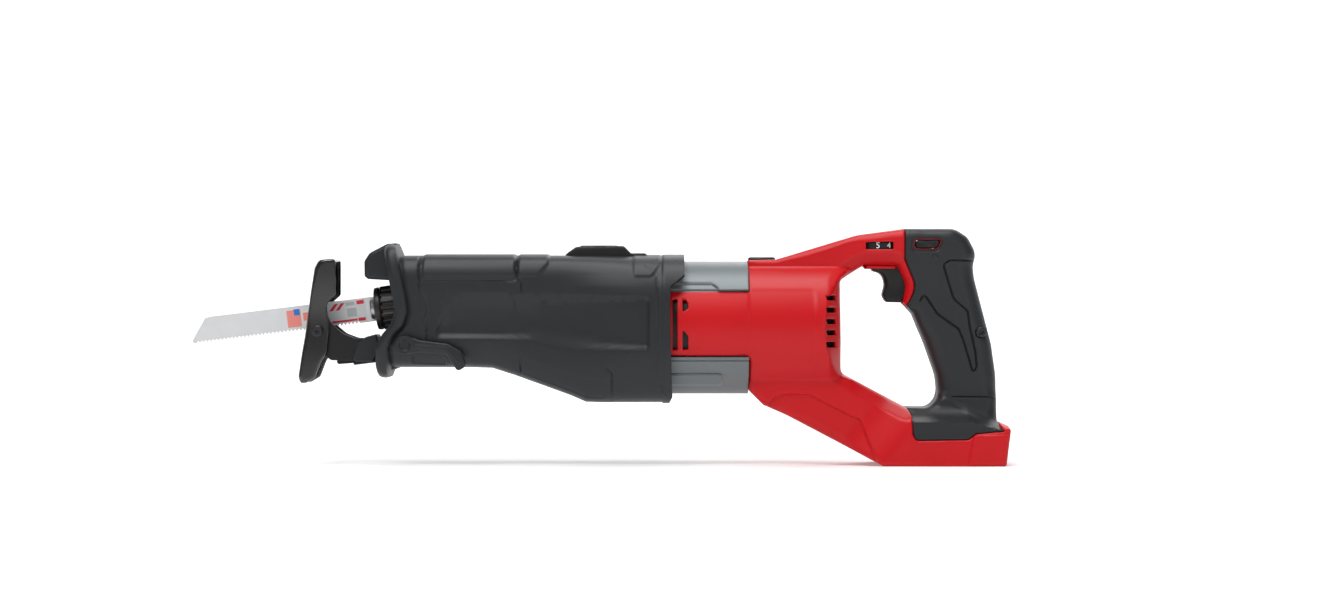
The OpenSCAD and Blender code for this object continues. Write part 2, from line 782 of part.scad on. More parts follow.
// ---- Trigger, lock button, speed dial ----
trigger_outline = [[-44, 130, 4], [-39, 120.5, 14], [-41.5, 113.5, 4], [-37.5, 109, 2], [-24, 109, 1], [-19, 113, 2],
    [-19, 137.4, 1], [-44, 137.4, 3]];
module trigger() {
    color("#2c2d30") slab(trigger_outline, 8, 1.5);
}

module trigger_spring() {
    color("silver") difference() {
        rod_x(3, -18.9, -10.1, 125);
        rod_x(2.1, -20, -9, 125);
    }
}

module switch_module() {
    color("#25272a") box3([-10, -9, 112], [12, 9, 138]);
}

module lock_button() {
    color("#1c1d1f") slab([[-18.6, 146.6, 2.2], [-0.9, 146.6, 1.8], [-3.4, 151.6, 1.8], [-18.6, 151.6, 2.2]], 18.2);
}

module speed_dial() {
    color("#161718") difference() {
        translate([dial_x, 0, dial_z - 2.8]) cylinder(r = dial_r, h = 5.6);
        for (k = [0:35]) translate([dial_x, 0, dial_z - 4]) rotate([0, 0, k * 10]) translate([dial_r, 0, 0])
            rotate([0, 0, 45]) box3([-0.5, -0.5, 0], [0.5, 0.5, 1.6]);
    }
}

// ---- Electronics ----
module on_board() {
    translate([-74, 0, 36]) rotate([0, 24, 0]) children();
}

module control_board() {
    color("#23262a") on_board() box3([-20, -13, -6], [20, 13, 5]);
}

module heat_sink() {
    color("silver") on_board() {
        box3([-20, -13, 5.02], [20, 13, 7]);
        for (k = [-4:4]) box3([-20, k * 3 - 0.6, 6.9], [20, k * 3 + 0.6, 9]);
    }
}

module battery_terminal_block() {
    color("#17181a") difference() {
        box3([-30.9, -13, 7.4], [14, 13, 12.4]);
        for (k = [-2:2]) box3([-12, k * 5 - 0.7, 6], [16, k * 5 + 0.7, 10.6]);
    }
}

module terminal_contacts() {
    color("#c9a24a") for (k = [-2:2]) box3([-11.8, k * 5 - 0.6, 7.6], [12, k * 5 + 0.6, 10.4]);
}

// Three leads from the stator to the control board
module motor_leads() {
    colors = ["#b3202a", "#222222", "#2a4fa0"];
    for (k = [-1:1]) color(colors[k + 1]) {
        translate([-106.9, k * 5 , motor_z - 26]) rotate([0, 90, 0]) cylinder(r = 1.2, h = 14.9);
        translate([-92, k * 5, 50]) cylinder(r = 1.2, h = motor_z - 26 - 50 + 1.2);
    }
}

housing_left();
housing_right();
grip_cover_left();
grip_cover_right();
housing_screws();
top_pad();
gear_case_left();
gear_case_right();
gear_case_screws();
rubber_boot();
work_light_lens();
stator_core();
stator_windings();
motor_front_bearing();
motor_rear_bearing();
crank_upper_bearing();
crank_lower_bearing();
spindle_front_bushing();
spindle_rear_bushing();
spindle_seal();
sensor_board();
control_board();
heat_sink();
switch_module();
battery_terminal_block();
terminal_contacts();
motor_leads();
spindle_bar();
yoke_block();
clamp_core();
blade_lock_pin();
collar_spring();
saw_blade();
clamp_collar();
crank_gear();
crank_shaft();
crank_roller();
rotor_shaft();
rotor_core();
rotor_magnets();
cooling_fan();
bevel_pinion();
counterweight();
orbit_knob();
orbit_cam_shaft();
shoe_post();
shoe_bracket();
shoe_pins();
shoe_plate();
shoe_lever();
lever_shaft();
trigger();
trigger_spring();
lock_button();
speed_dial();
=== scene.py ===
"""Cordless reciprocating saw: moulded skins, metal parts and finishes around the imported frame.

Lengths in this file are millimetres until a mesh is made, and the frame is the CAD's own:
the blade points along -X, +Z is up, and y = 0 is the split plane of the casings.
"""

import json
import logging
import math
from dataclasses import dataclass
from enum import Enum
from typing import Callable, Sequence

import bmesh
import bpy
import numpy as np
from mathutils import Matrix, Vector
from mathutils.geometry import delaunay_2d_cdt


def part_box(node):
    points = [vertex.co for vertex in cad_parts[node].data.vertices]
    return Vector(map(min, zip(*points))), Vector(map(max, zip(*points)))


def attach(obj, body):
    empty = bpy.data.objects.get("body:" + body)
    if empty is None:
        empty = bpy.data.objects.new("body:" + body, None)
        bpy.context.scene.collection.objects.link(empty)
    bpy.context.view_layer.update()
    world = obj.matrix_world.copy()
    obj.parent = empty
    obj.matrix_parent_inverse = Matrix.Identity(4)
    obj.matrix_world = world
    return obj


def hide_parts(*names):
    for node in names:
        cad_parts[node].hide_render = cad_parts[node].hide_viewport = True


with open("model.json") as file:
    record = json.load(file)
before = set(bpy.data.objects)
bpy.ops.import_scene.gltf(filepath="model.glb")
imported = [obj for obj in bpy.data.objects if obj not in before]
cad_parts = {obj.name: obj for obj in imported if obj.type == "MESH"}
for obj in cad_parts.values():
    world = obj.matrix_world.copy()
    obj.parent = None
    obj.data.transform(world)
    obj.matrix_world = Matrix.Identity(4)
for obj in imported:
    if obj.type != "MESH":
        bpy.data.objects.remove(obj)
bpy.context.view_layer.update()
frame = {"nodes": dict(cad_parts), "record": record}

MM = 0.001
SIDES = ((-1, "left"), (1, "right"))
WALL_ROWS = 4
CHUNK = 4000
log = logging.getLogger("saw")
Corner = tuple[float, float, float]
Field = Callable[[np.ndarray], np.ndarray]


# ---------------------------------------------------------------- outlines and fields
def rounded(corners: Sequence[Corner], step: float = 1.0, closed: bool = True) -> np.ndarray:
    """Turns corners into a line of close points.

    Args:
        corners: (first, second, radius) of each corner.
        step: longest distance between points.
        closed: whether the last corner joins the first.
    Returns:
        The points, one row each.
    """
    n = len(corners)
    way: list[np.ndarray] = []
    for i, (a, b, r) in enumerate(corners):
        p = np.array((a, b), float)
        if r == 0 or (not closed and i in (0, n - 1)):
            way.append(p)
            continue
        before = np.array(corners[i - 1][:2], float) - p
        after = np.array(corners[(i + 1) % n][:2], float) - p
        u, v = before / np.linalg.norm(before), after / np.linalg.norm(after)
        half = math.acos(float(np.clip(u @ v, -1, 1))) / 2
        reach = min(r / math.tan(half), 0.48 * min(np.linalg.norm(before), np.linalg.norm(after)))
        radius = reach * math.tan(half)
        centre = p + (u + v) / np.linalg.norm(u + v) * radius / math.sin(half)
        start = p + u * reach - centre
        sweep = (2 * half - math.pi) * np.sign(u[0] * v[1] - u[1] * v[0])
        for g in np.linspace(0, sweep, max(3, int(abs(sweep) * radius / step) + 2)):
            c, s = math.cos(g), math.sin(g)
            way.append(centre + (start[0] * c - start[1] * s, start[0] * s + start[1] * c))
    line = [way[0]]
    for p in way[1:] + ([way[0]] if closed else []):
        gap = np.linalg.norm(p - line[-1])
        count = max(1, math.ceil(gap / step - 1e-6))
        line += [line[-1] + (p - line[-1]) * k / count for k in range(1, count + 1)] if gap > 1e-6 else []
    return np.array(line[:-1] if closed else line)


def nearest(points: np.ndarray, line: np.ndarray, closed: bool = True) -> np.ndarray:
    """Distance from each point to a line of points."""
    a = line
    b = np.roll(line, -1, axis=0)
    if not closed:
        a, b = line[:-1], line[1:]
    d = b - a
    best = np.full(len(points), 1e9)
    for k in range(0, len(points), CHUNK):
        p = points[k:k + CHUNK, None, :]
        t = np.clip(((p - a) * d).sum(2) / (d * d).sum(1), 0, 1)
        best[k:k + CHUNK] = np.linalg.norm(p - a - t[..., None] * d, axis=2).min(1)
    return best


def inside(points: np.ndarray, line: np.ndarray) -> np.ndarray:
    """Whether each point lies inside a closed line."""
    a, b = line, np.roll(line, -1, axis=0)
    hit = np.zeros(len(points), bool)
    rise = np.where(b[:, 1] == a[:, 1], 1, b[:, 1] - a[:, 1])
    for k in range(0, len(points), CHUNK):
        p = points[k:k + CHUNK, None, :]
        cross = (a[:, 1] > p[..., 1]) != (b[:, 1] > p[..., 1])
        at = a[:, 0] + (p[..., 1] - a[:, 1]) * (b[:, 0] - a[:, 0]) / rise
        hit[k:k + CHUNK] = (cross & (p[..., 0] < at)).sum(1) % 2 == 1
    return hit


def signed(points: np.ndarray, line: np.ndarray) -> np.ndarray:
    """Distance to a closed line, positive inside it."""
    return nearest(points, line) * np.where(inside(points, line), 1, -1)


def smooth(t: np.ndarray) -> np.ndarray:
    """A soft step from 0 to 1 as t goes from 0 to 1."""
    t = np.clip(t, 0, 1)
    return t * t * (3 - 2 * t)


def soft_max(a: np.ndarray, b: np.ndarray, k: float) -> np.ndarray:
    """The larger of two heights, with a fillet of about k where they meet."""
    h = np.clip(0.5 + 0.5 * (a - b) / k, 0, 1)
    return b + (a - b) * h + k * h * (1 - h)


def soft_min(a: np.ndarray, b: np.ndarray, k: float) -> np.ndarray:
    """The smaller of two heights, with a round of about k where they meet."""
    return -soft_max(-a, -b, k)


def mixed(points: np.ndarray, anchors: Sequence[Corner], power: float = 3.0) -> np.ndarray:
    """A value that flows between anchors, each (first, second, value)."""
    table = np.array(anchors, float)
    d = np.linalg.norm(points[:, None, :] - table[None, :, :2], axis=2) + 1e-6
    w = d ** -power
    return (w * table[:, 2]).sum(1) / w.sum(1)


def beside(line: np.ndarray, gaps: Sequence[float]) -> np.ndarray:
    """Points on a line and at given gaps on both sides of it."""
    tangent = np.gradient(line, axis=0)
    tangent /= np.linalg.norm(tangent, axis=1)[:, None] + 1e-9
    normal = np.stack((-tangent[:, 1], tangent[:, 0]), 1)
    return np.concatenate([line + normal * g * s for g in gaps for s in ((1,) if g == 0 else (1, -1))])


@dataclass(frozen=True)
class Groove:
    """A line pressed into a surface."""

    corners: tuple[Corner, ...]
    depth: float = 0.6
    half: float = 0.8
    closed: bool = False

    def drop(self, p: np.ndarray) -> np.ndarray:
        """How far the surface drops at each point."""
        d = nearest(p, rounded(self.corners, 1.0, self.closed), self.closed)
        return self.depth * (1 - smooth(d / self.half))

    def trace(self) -> np.ndarray:
        """Points that hold the groove's shape in a mesh."""
        return beside(rounded(self.corners, 0.8, self.closed), (0, self.half * 0.55, self.half))


@dataclass(frozen=True)
class Panel:
    """An area let into a surface, or raised from it where the depth is negative."""

    corners: tuple[Corner, ...]
    depth: float = 1.0
    slope: float = 1.5

    def drop(self, p: np.ndarray) -> np.ndarray:
        """How far the surface drops at each point."""
        return self.depth * smooth(signed(p, rounded(self.corners)) / self.slope + 0.5)

    def trace(self) -> np.ndarray:
        """Points that hold the panel's edge in a mesh."""
        return beside(rounded(self.corners, 0.9), (0, self.slope * 0.28, self.slope * 0.5))


# ---------------------------------------------------------------- shader toolkit
class Sock:
    """A value or colour in a node tree, which takes part in expressions."""

    def __init__(self, shader: "Shader", out: bpy.types.NodeSocket) -> None:
        """Wraps an output socket."""
        self.shader, self.out = shader, out

    def _maths(self, operation: str, a: "Sock | float", b: "Sock | float") -> "Sock":
        """Adds one Math node."""
        return self.shader.node("ShaderNodeMath", {"operation": operation}, {0: a, 1: b})

    def __add__(self, other: "Sock | float") -> "Sock":
        """self + other."""
        return self._maths("ADD", self, other)

    def __radd__(self, other: float) -> "Sock":
        """other + self."""
        return self._maths("ADD", other, self)

    def __sub__(self, other: "Sock | float") -> "Sock":
        """self - other."""
        return self._maths("SUBTRACT", self, other)

    def __mul__(self, other: "Sock | float") -> "Sock":
        """self times other."""
        return self._maths("MULTIPLY", self, other)

    def __gt__(self, other: "Sock | float") -> "Sock":
        """1 where self is over other."""
        return self._maths("GREATER_THAN", self, other)

    def __lt__(self, other: "Sock | float") -> "Sock":
        """1 where self is under other."""
        return self._maths("LESS_THAN", self, other)

    def within(self, low: float, high: float) -> "Sock":
        """1 where self lies between low and high."""
        return (self > low) * (self < high)


class Shader:
    """One material and its node tree."""

    def __init__(self, name: str) -> None:
        """Makes an empty material."""
        self.material = bpy.data.materials.new(name)
        self.material.use_nodes = True
        self.tree = self.material.node_tree
        self.tree.nodes.clear()

    def node(self, kind: str, settings: dict | None = None, values: dict | None = None,
             out: int | str = 0) -> Sock:
        """Adds a node.

        Args:
            kind: the node's type.
            settings: its own settings; a ramp's stops are given as "stops".
            values: a value or a link for each input, by name or number.
            out: the output wanted.
        Returns:
            That output.
        """
        n = self.tree.nodes.new(kind)
        for key, value in (settings or {}).items():
            if key == "stops":
                ramp = n.color_ramp
                for i, (at, colour) in enumerate(value):
                    stop = ramp.elements[i] if i < 2 else ramp.elements.new(at)
                    stop.position, stop.color = at, (*colour, 1)
            else:
                setattr(n, key, value)
        for key, value in (values or {}).items():
            if isinstance(value, Sock):
                self.tree.links.new(value.out, n.inputs[key])
            else:
                n.inputs[key].default_value = value
        return Sock(self, n.outputs[out])

    def place(self) -> Sock:
        """Object coordinates, in metres."""
        return self.node("ShaderNodeTexCoord", out="Object")

    def noise(self, size_mm: float, detail: float = 3.0, stretch: Sequence[float] = (1, 1, 1)) -> Sock:
        """Noise with features of a given size, from 0 to 1."""
        spot = self.node("ShaderNodeMapping", None, {"Vector": self.place(), "Scale": tuple(stretch)})
        return self.node("ShaderNodeTexNoise", None, {"Vector": spot, "Scale": 1 / (size_mm * MM),
                                                      "Detail": detail})

    def blend(self, factor: Sock | float, a: Sock | tuple, b: Sock | tuple) -> Sock:
        """Mixes two colours."""
        a, b = (c if isinstance(c, Sock) else (*c, 1) for c in (a, b))
        return self.node("ShaderNodeMix", {"data_type": "RGBA"}, {0: factor, 6: a, 7: b}, 2)

    def clouded(self, cloud: Sock, colour: Sequence[float], dark: float, pale: float) -> Sock:
        """A colour that drifts between a darker and a paler share of itself."""
        return self.blend(cloud, *(tuple(min(1, c * share) for c in colour) for share in (dark, pale)))

    def axes(self, origin: Vector | None = None, tilt: float = 0.0) -> tuple[Sock, Sock, Sock]:
        """Object coordinates along three axes, in millimetres, from an origin and a tilt about Y."""
        shift = self.node("ShaderNodeVectorMath", {"operation": "SUBTRACT"},
                          {0: self.place(), 1: tuple(origin or (0, 0, 0))})
        turned = self.node("ShaderNodeVectorRotate", {"rotation_type": "Y_AXIS"},
                           {"Vector": shift, "Angle": tilt})
        grown = self.node("ShaderNodeVectorMath", {"operation": "SCALE"}, {0: turned, "Scale": 1 / MM})
        return tuple(self.node("ShaderNodeSeparateXYZ", None, {0: grown}, k) for k in range(3))

    def finish(self, colour: Sock | tuple, rough: Sock | float, bump: Sock | None = None,
               depth_mm: float = 0.05, **fixed: float | tuple) -> bpy.types.Material:
        """Ends the tree in a Principled shader.

        Args:
            colour: the base colour.
            rough: the roughness.
            bump: a height from 0 to 1, or None.
            depth_mm: how deep that height is.
            fixed: other sockets, with _ for a space.
        Returns:
            The material.
        """
        values = {"Base Color": colour if isinstance(colour, Sock) else (*colour, 1), "Roughness": rough}
        values |= {key.replace("_", " "): value for key, value in fixed.items()}
        if bump is not None:
            values["Normal"] = self.node("ShaderNodeBump", None, {"Height": bump, "Distance": depth_mm * MM,
                                                                  "Strength": 1.0})
        surface = self.node("ShaderNodeBsdfPrincipled", None, values)
        self.node_out(surface)
        return self.material

    def node_out(self, surface: Sock) -> None:
        """Links a surface to the material's output."""
        end = self.tree.nodes.new("ShaderNodeOutputMaterial")
        self.tree.links.new(surface.out, end.inputs["Surface"])


@dataclass(frozen=True)
class Moulding:
    """Moulded plastic or rubber with a fine grain."""

    colour: tuple[float, float, float]
    rough: float = 0.45
    grain_mm: float = 0.5
    grain_depth: float = 0.03
    sheen: float = 0.0
    coat: float = 0.0
    specular: float = 0.5

    def make(self, name: str) -> bpy.types.Material:
        """The material."""
        s = Shader(name)
        cloud = s.noise(35)
        grain = s.noise(self.grain_mm, 2)
        shade = s.clouded(cloud, self.colour, 0.93, 1.07)
        rough = self.rough - 0.05 + cloud * 0.06 + grain * 0.05
        return s.finish(shade, rough, grain, self.grain_depth, Sheen_Weight=self.sheen, Coat_Weight=self.coat,
                        Coat_Roughness=0.25, Specular_IOR_Level=self.specular)


@dataclass(frozen=True)
class Metal:
    """Machined, cast or pressed metal."""

    colour: tuple[float, float, float]
    rough: float = 0.35
    metallic: float = 1.0
    grain_mm: float = 0.8
    grain_depth: float = 0.02
    stretch: tuple[float, float, float] = (1, 1, 1)

    def make(self, name: str) -> bpy.types.Material:
        """The material."""
        s = Shader(name)
        cloud = s.noise(18)
        grain = s.noise(self.grain_mm, 3, self.stretch)
        shade = s.clouded(cloud, self.colour, 0.9, 1.06)
        rough = self.rough - 0.06 + cloud * 0.08 + grain * 0.06
        return s.finish(shade, rough, grain, self.grain_depth, Metallic=self.metallic)


@dataclass(frozen=True)
class Clear:
    """A clear moulded lens."""

    def make(self, name: str) -> bpy.types.Material:
        """The material."""
        s = Shader(name)
        ripple = s.noise(1.2, 1)
        return s.finish((0.86, 0.9, 0.93), 0.08 + ripple * 0.06, ripple, 0.05, IOR=1.49,
                        Transmission_Weight=0.6)


@dataclass(frozen=True)
class Backdrop:
    """A pale studio floor that glows a little, so that it stays white."""

    colour: tuple[float, float, float]
    glow: float

    def make(self, name: str) -> bpy.types.Material:
        """The material."""
        s = Shader(name)
        cloud = s.noise(400)
        shade = s.blend(cloud, self.colour, tuple(c + 0.02 for c in self.colour))
        across = s.node("ShaderNodeMath", {"operation": "ABSOLUTE"}, {0: s.axes()[1]})
        far = s.node("ShaderNodeMapRange", None, {"Value": across, "From Min": 300.0, "From Max": 3000.0})
        glow = s.blend(far, (0.25, 0.25, 0.25), (1, 1, 1))
        return s.finish(shade, 0.7, Emission_Color=glow, Emission_Strength=self.glow)


@dataclass(frozen=True)
class PrintedBlade:
    """Bright blade steel with plain printed bars beside the clamp."""

    origin: Vector
    tilt: float

    def make(self, name: str) -> bpy.types.Material:
        """The material."""
        s = Shader(name)
        u, _, w = s.axes(self.origin, self.tilt)
        grain = s.noise(0.6, 3, (0.08, 1, 1))
        cloud = s.noise(9)
        steel = s.blend(cloud, (0.66, 0.67, 0.68), (0.74, 0.74, 0.75))
        label = u.within(-38, -2) * w.within(-7.4, 7.4)
        printed = s.blend(label, steel, (0.62, 0.63, 0.64))
        lean = u - w * 0.9
        red = (lean.within(-29, -26.4) + lean.within(-24.6, -22)) * w.within(2, 6.6)
        red = red + u.within(-26, -8.5) * w.within(-6.3, -4.9)
        red = red + u.within(-8, -3) * (w.within(4.6, 7.2) + w.within(-6.8, -4.6))
        grey = u.within(-15.5, -9.5) * w.within(4.4, 6.8) + u.within(-15, -8.6) * w.within(-3.2, 2.6)
        faded = u.within(-56, -46.5) * w.within(-5.6, 6) + u.within(-45, -38) * w.within(-2, 3.4)
        blue = u.within(-51, -47) * w.within(2.2, 6.4)
        colour = s.blend(grey, printed, (0.42, 0.43, 0.45))
        colour = s.blend(faded, colour, (0.85, 0.28, 0.24))
        colour = s.blend(red, colour, (0.62, 0.03, 0.06))
        colour = s.blend(blue, colour, (0.03, 0.20, 0.62))
        ink = label + faded
        return s.finish(colour, 0.34 + cloud * 0.06 + ink * 0.1, grain, 0.008, Metallic=0.35)


class Finish(Enum):
    """The record's material slots."""

    RED = "red_nylon"
    CHARCOAL = "charcoal_overmould"
    RUBBER = "boot_rubber"
    BLACK = "black_plastic"
    SHOE = "shoe_steel"
    CASE = "case_aluminium"
    SPINDLE = "spindle_steel"
    BLADE = "blade_steel"
    GEAR = "gear_steel"
    SCREW = "screw_steel"
    BEARING = "bearing_steel"
    BRONZE = "bushing_bronze"
    LAMINATION = "motor_laminations"
    COPPER = "copper_wire"
    MAGNET = "magnet_black"
    SEAL = "seal_rubber"
    BOARD = "circuit_green"
    BRASS = "contact_brass"
    LENS = "lamp_lens"
    COLLAR = "collar_black"
    TRIM = "release_red"
    LEADS = "lead_wire"


TILT = math.radians(7)
SPINDLE_MM = Vector((-387.6, 0, 104.7))

RECIPES = {
    Finish.RED: Moulding((0.54, 0.004, 0.008), 0.40, 0.6, 0.02, specular=0.28),
    Finish.CHARCOAL: Moulding((0.014, 0.0155, 0.018), 0.48, 0.45, 0.04, specular=0.42),
    Finish.RUBBER: Moulding((0.011, 0.0125, 0.015), 0.47, 0.5, 0.045, specular=0.42),
    Finish.BLACK: Moulding((0.006, 0.006, 0.007), 0.44, 0.4, 0.03, specular=0.36),
    Finish.SHOE: Moulding((0.005, 0.005, 0.006), 0.20, 0.8, 0.010, coat=0.7),
    Finish.CASE: Metal((0.150, 0.170, 0.178), 0.42, 0.3, 0.7, 0.04),
    Finish.SPINDLE: Metal((0.62, 0.62, 0.63), 0.22, 1.0, 0.5, 0.01, (0.1, 1, 1)),
    Finish.BLADE: PrintedBlade(SPINDLE_MM * MM, TILT),
    Finish.GEAR: Metal((0.42, 0.42, 0.43), 0.34),
    Finish.SCREW: Metal((0.045, 0.045, 0.048), 0.34, 0.8),
    Finish.BEARING: Metal((0.68, 0.68, 0.69), 0.2),
    Finish.BRONZE: Metal((0.55, 0.36, 0.14), 0.4, 1.0, 0.4, 0.03),
    Finish.LAMINATION: Metal((0.34, 0.34, 0.35), 0.42, 1.0, 0.5, 0.05, (9, 0.2, 0.2)),
    Finish.COPPER: Metal((0.68, 0.27, 0.10), 0.3, 1.0, 0.7, 0.1, (0.2, 2, 2)),
    Finish.MAGNET: Metal((0.11, 0.11, 0.115), 0.42, 0.7),
    Finish.SEAL: Moulding((0.014, 0.014, 0.015), 0.6),
    Finish.BOARD: Moulding((0.012, 0.085, 0.04), 0.35, 1.6, 0.05, coat=0.3),
    Finish.BRASS: Metal((0.72, 0.52, 0.2), 0.28),
    Finish.LENS: Clear(),
    Finish.COLLAR: Moulding((0.013, 0.011, 0.010), 0.42, 0.6, 0.05),
    Finish.TRIM: Moulding((0.16, 0.004, 0.010), 0.42),
    Finish.LEADS: Moulding((0.05, 0.05, 0.055), 0.45),
}


class Paints:
    """Makes each finish once and hands it out."""

    def __init__(self) -> None:
        """Starts with nothing made."""
        self.made: dict[str, bpy.types.Material] = {}

    def of(self, finish: Finish) -> bpy.types.Material:
        """The material of a finish."""
        if finish.value not in self.made:
            self.made[finish.value] = RECIPES[finish].make(finish.value)
        return self.made[finish.value]

    def extra(self, name: str, recipe: Moulding | Metal | Backdrop) -> bpy.types.Material:
        """A material outside the record's slots."""
        if name not in self.made:
            self.made[name] = recipe.make(name)
        return self.made[name]

    def dress_nodes(self) -> None:
        """Gives every CAD node its finish, by the slot it has in the record."""
        for part in frame["record"]["subparts"]:
            node = frame["nodes"].get(part.get("node") or part["name"])
            if node is None:
                continue
            node.data.materials.clear()
            node.data.materials.append(self.of(Finish(part["material_slot"])))


PAINTS = Paints()


# ---------------------------------------------------------------- mesh toolkit
def piece(name: str, verts: np.ndarray, faces: Sequence[Sequence[int]], finish: Finish, body: str,
          stands_for: Sequence[str] = (), wall: float = 0.0, angle: float = 40.0,
          place: Matrix | None = None, bevel: float = 0.0) -> bpy.types.Object:
    """Makes one visible piece.

    Args:
        name: its name.
        verts: its points in millimetres.
        faces: its faces.
        finish: its finish.
        body: the body that it rides on.
        stands_for: the CAD nodes that it replaces.
        wall: thickness grown inward, for a shell.
        angle: edges sharper than this stay sharp.
        place: where it goes, in metres, if it was drawn elsewhere.
        bevel: width of a small round on its sharp edges.
    Returns:
        The object.
    """
    mesh = bpy.data.meshes.new(name)
    mesh.from_pydata((np.asarray(verts, float) * MM).tolist(), [], [list(f) for f in faces])
    mesh.validate()
    thing = bpy.data.objects.new(name, mesh)
    bpy.context.scene.collection.objects.link(thing)
    work = bmesh.new()
    work.from_mesh(mesh)
    bmesh.ops.remove_doubles(work, verts=work.verts, dist=0.01 * MM)
    bmesh.ops.dissolve_degenerate(work, edges=work.edges, dist=0.004 * MM)
    work.to_mesh(mesh)
    work.free()
    if place is not None:
        mesh.transform(place)
    if bevel:
        rounder = thing.modifiers.new("edges", "BEVEL")
        rounder.width, rounder.segments, rounder.limit_method = bevel * MM, 3, "ANGLE"
        rounder.angle_limit = math.radians(35)
    if wall:
        skin = thing.modifiers.new("wall", "SOLIDIFY")
        skin.thickness, skin.offset, skin.use_rim = wall * MM, -1, True
    mesh.materials.append(PAINTS.of(finish))
    mesh.shade_smooth()
    mesh.set_sharp_from_angle(angle=math.radians(angle))
    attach(thing, body)
    if stands_for:
        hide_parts(*stands_for)
    log.info("%s: %d points on %s", name, len(mesh.vertices), body)
    return thing


def grid_faces(rows: int, columns: int, wrap: bool = True, start: int = 0) -> list[tuple[int, ...]]:
    """Quads of a grid of rings, each ring's ends joined where wrap is true."""
    faces = []
    for i in range(rows - 1):
        for j in range(columns if wrap else columns - 1):
            k = (j + 1) % columns
            faces.append((start + i * columns + j, start + i * columns + k,
                          start + (i + 1) * columns + k, start + (i + 1) * columns + j))
    return faces


def lathe(profile: Sequence[Corner], start: Vector, axis: Vector, around: int = 96,
          ripple: Field | None = None, closed: bool = True, step: float = 0.8) -> tuple[np.ndarray, list]:
    """Turns a profile about an axis.

    Args:
        profile: (along, radius, round) corners.
        start: where the axis starts.
        axis: its direction.
        around: points around.
        ripple: a change of radius from (along, angle, radius) rows.
        closed: whether the profile is a loop.
        step: spacing along the profile.
    Returns:
        Points and faces.
    """
    line = rounded(profile, step, closed)
    axis = axis.normalized()
    side = Vector((0, -1, 0)) if abs(axis.y) < 0.9 else Vector((0, 0, 1))
    side = (side - axis * side.dot(axis)).normalized()
    third = axis.cross(side)
    turn = np.linspace(0, 2 * math.pi, around, endpoint=False)
    a, t = np.meshgrid(line[:, 0], turn, indexing="ij")
    r = np.repeat(line[:, 1:2], around, axis=1)
    if ripple is not None:
        r = r + ripple(np.stack((a.ravel(), t.ravel(), r.ravel()), 1)).reshape(r.shape)
    r = np.maximum(r, 0.02)
    points = (np.array(start) + a[..., None] * np.array(axis)
              + (r * np.cos(t))[..., None] * np.array(side) + (r * np.sin(t))[..., None] * np.array(third))
    faces = grid_faces(len(line), around)
    if closed:
        last = (len(line) - 1) * around
        faces += [(last + j, last + (j + 1) % around, (j + 1) % around, j) for j in range(around)]
    return points.reshape(-1, 3), faces


def filled(points: np.ndarray, loops: Sequence[np.ndarray], mode: int = 0,
           near: float = 1e-4) -> tuple[np.ndarray, np.ndarray]:
    """Triangles between closed loops, through points.

    Args:
        points: the loops' points in order, then any points between them.
        loops: the outer loop, then the holes.
        mode: what the triangulation leaves out by itself.
        near: points closer than this become one.
    Returns:
        Flat points, and triangles that all turn the same way.
    """
    edges, start = [], 0
    for loop in loops:
        n = len(loop)
        edges += [(start + i, start + (i + 1) % n) for i in range(n)]
        start += n
    made = delaunay_2d_cdt([Vector(q) for q in points], edges, [], mode, near)
    flat = np.array([tuple(v) for v in made[0]])
    tri = np.array([f for f in made[2] if len(f) == 3])
    if mode == 0:
        mid = flat[tri].mean(1)
        keep = inside(mid, loops[0])
        for hole in loops[1:]:
            keep &= ~inside(mid, hole)
        tri = tri[keep]
    a, b, c = (flat[tri[:, k]] for k in range(3))
    area = (b[:, 0] - a[:, 0]) * (c[:, 1] - a[:, 1]) - (b[:, 1] - a[:, 1]) * (c[:, 0] - a[:, 0])
    tri[area < 0] = tri[area < 0][:, ::-1]
    return flat, tri


def joined(parts: Sequence[tuple[np.ndarray, list]]) -> tuple[np.ndarray, list]:
    """Several sets of points and faces as one."""
    faces, start = [], 0
    for verts, own in parts:
        faces += [tuple(k + start for k in face) for face in own]
        start += len(verts)
    return np.concatenate([verts for verts, _ in parts]), faces


def flipped(faces: Sequence[Sequence[int]]) -> list[tuple[int, ...]]:
    """The same faces, turned to the other side."""
    return [tuple(reversed(face)) for face in faces]


def upright(line: np.ndarray, y: np.ndarray | float) -> np.ndarray:
    """Points of a side view, stood up in space at y."""
    return np.stack((line[:, 0], np.broadcast_to(y, len(line)), line[:, 1]), 1)


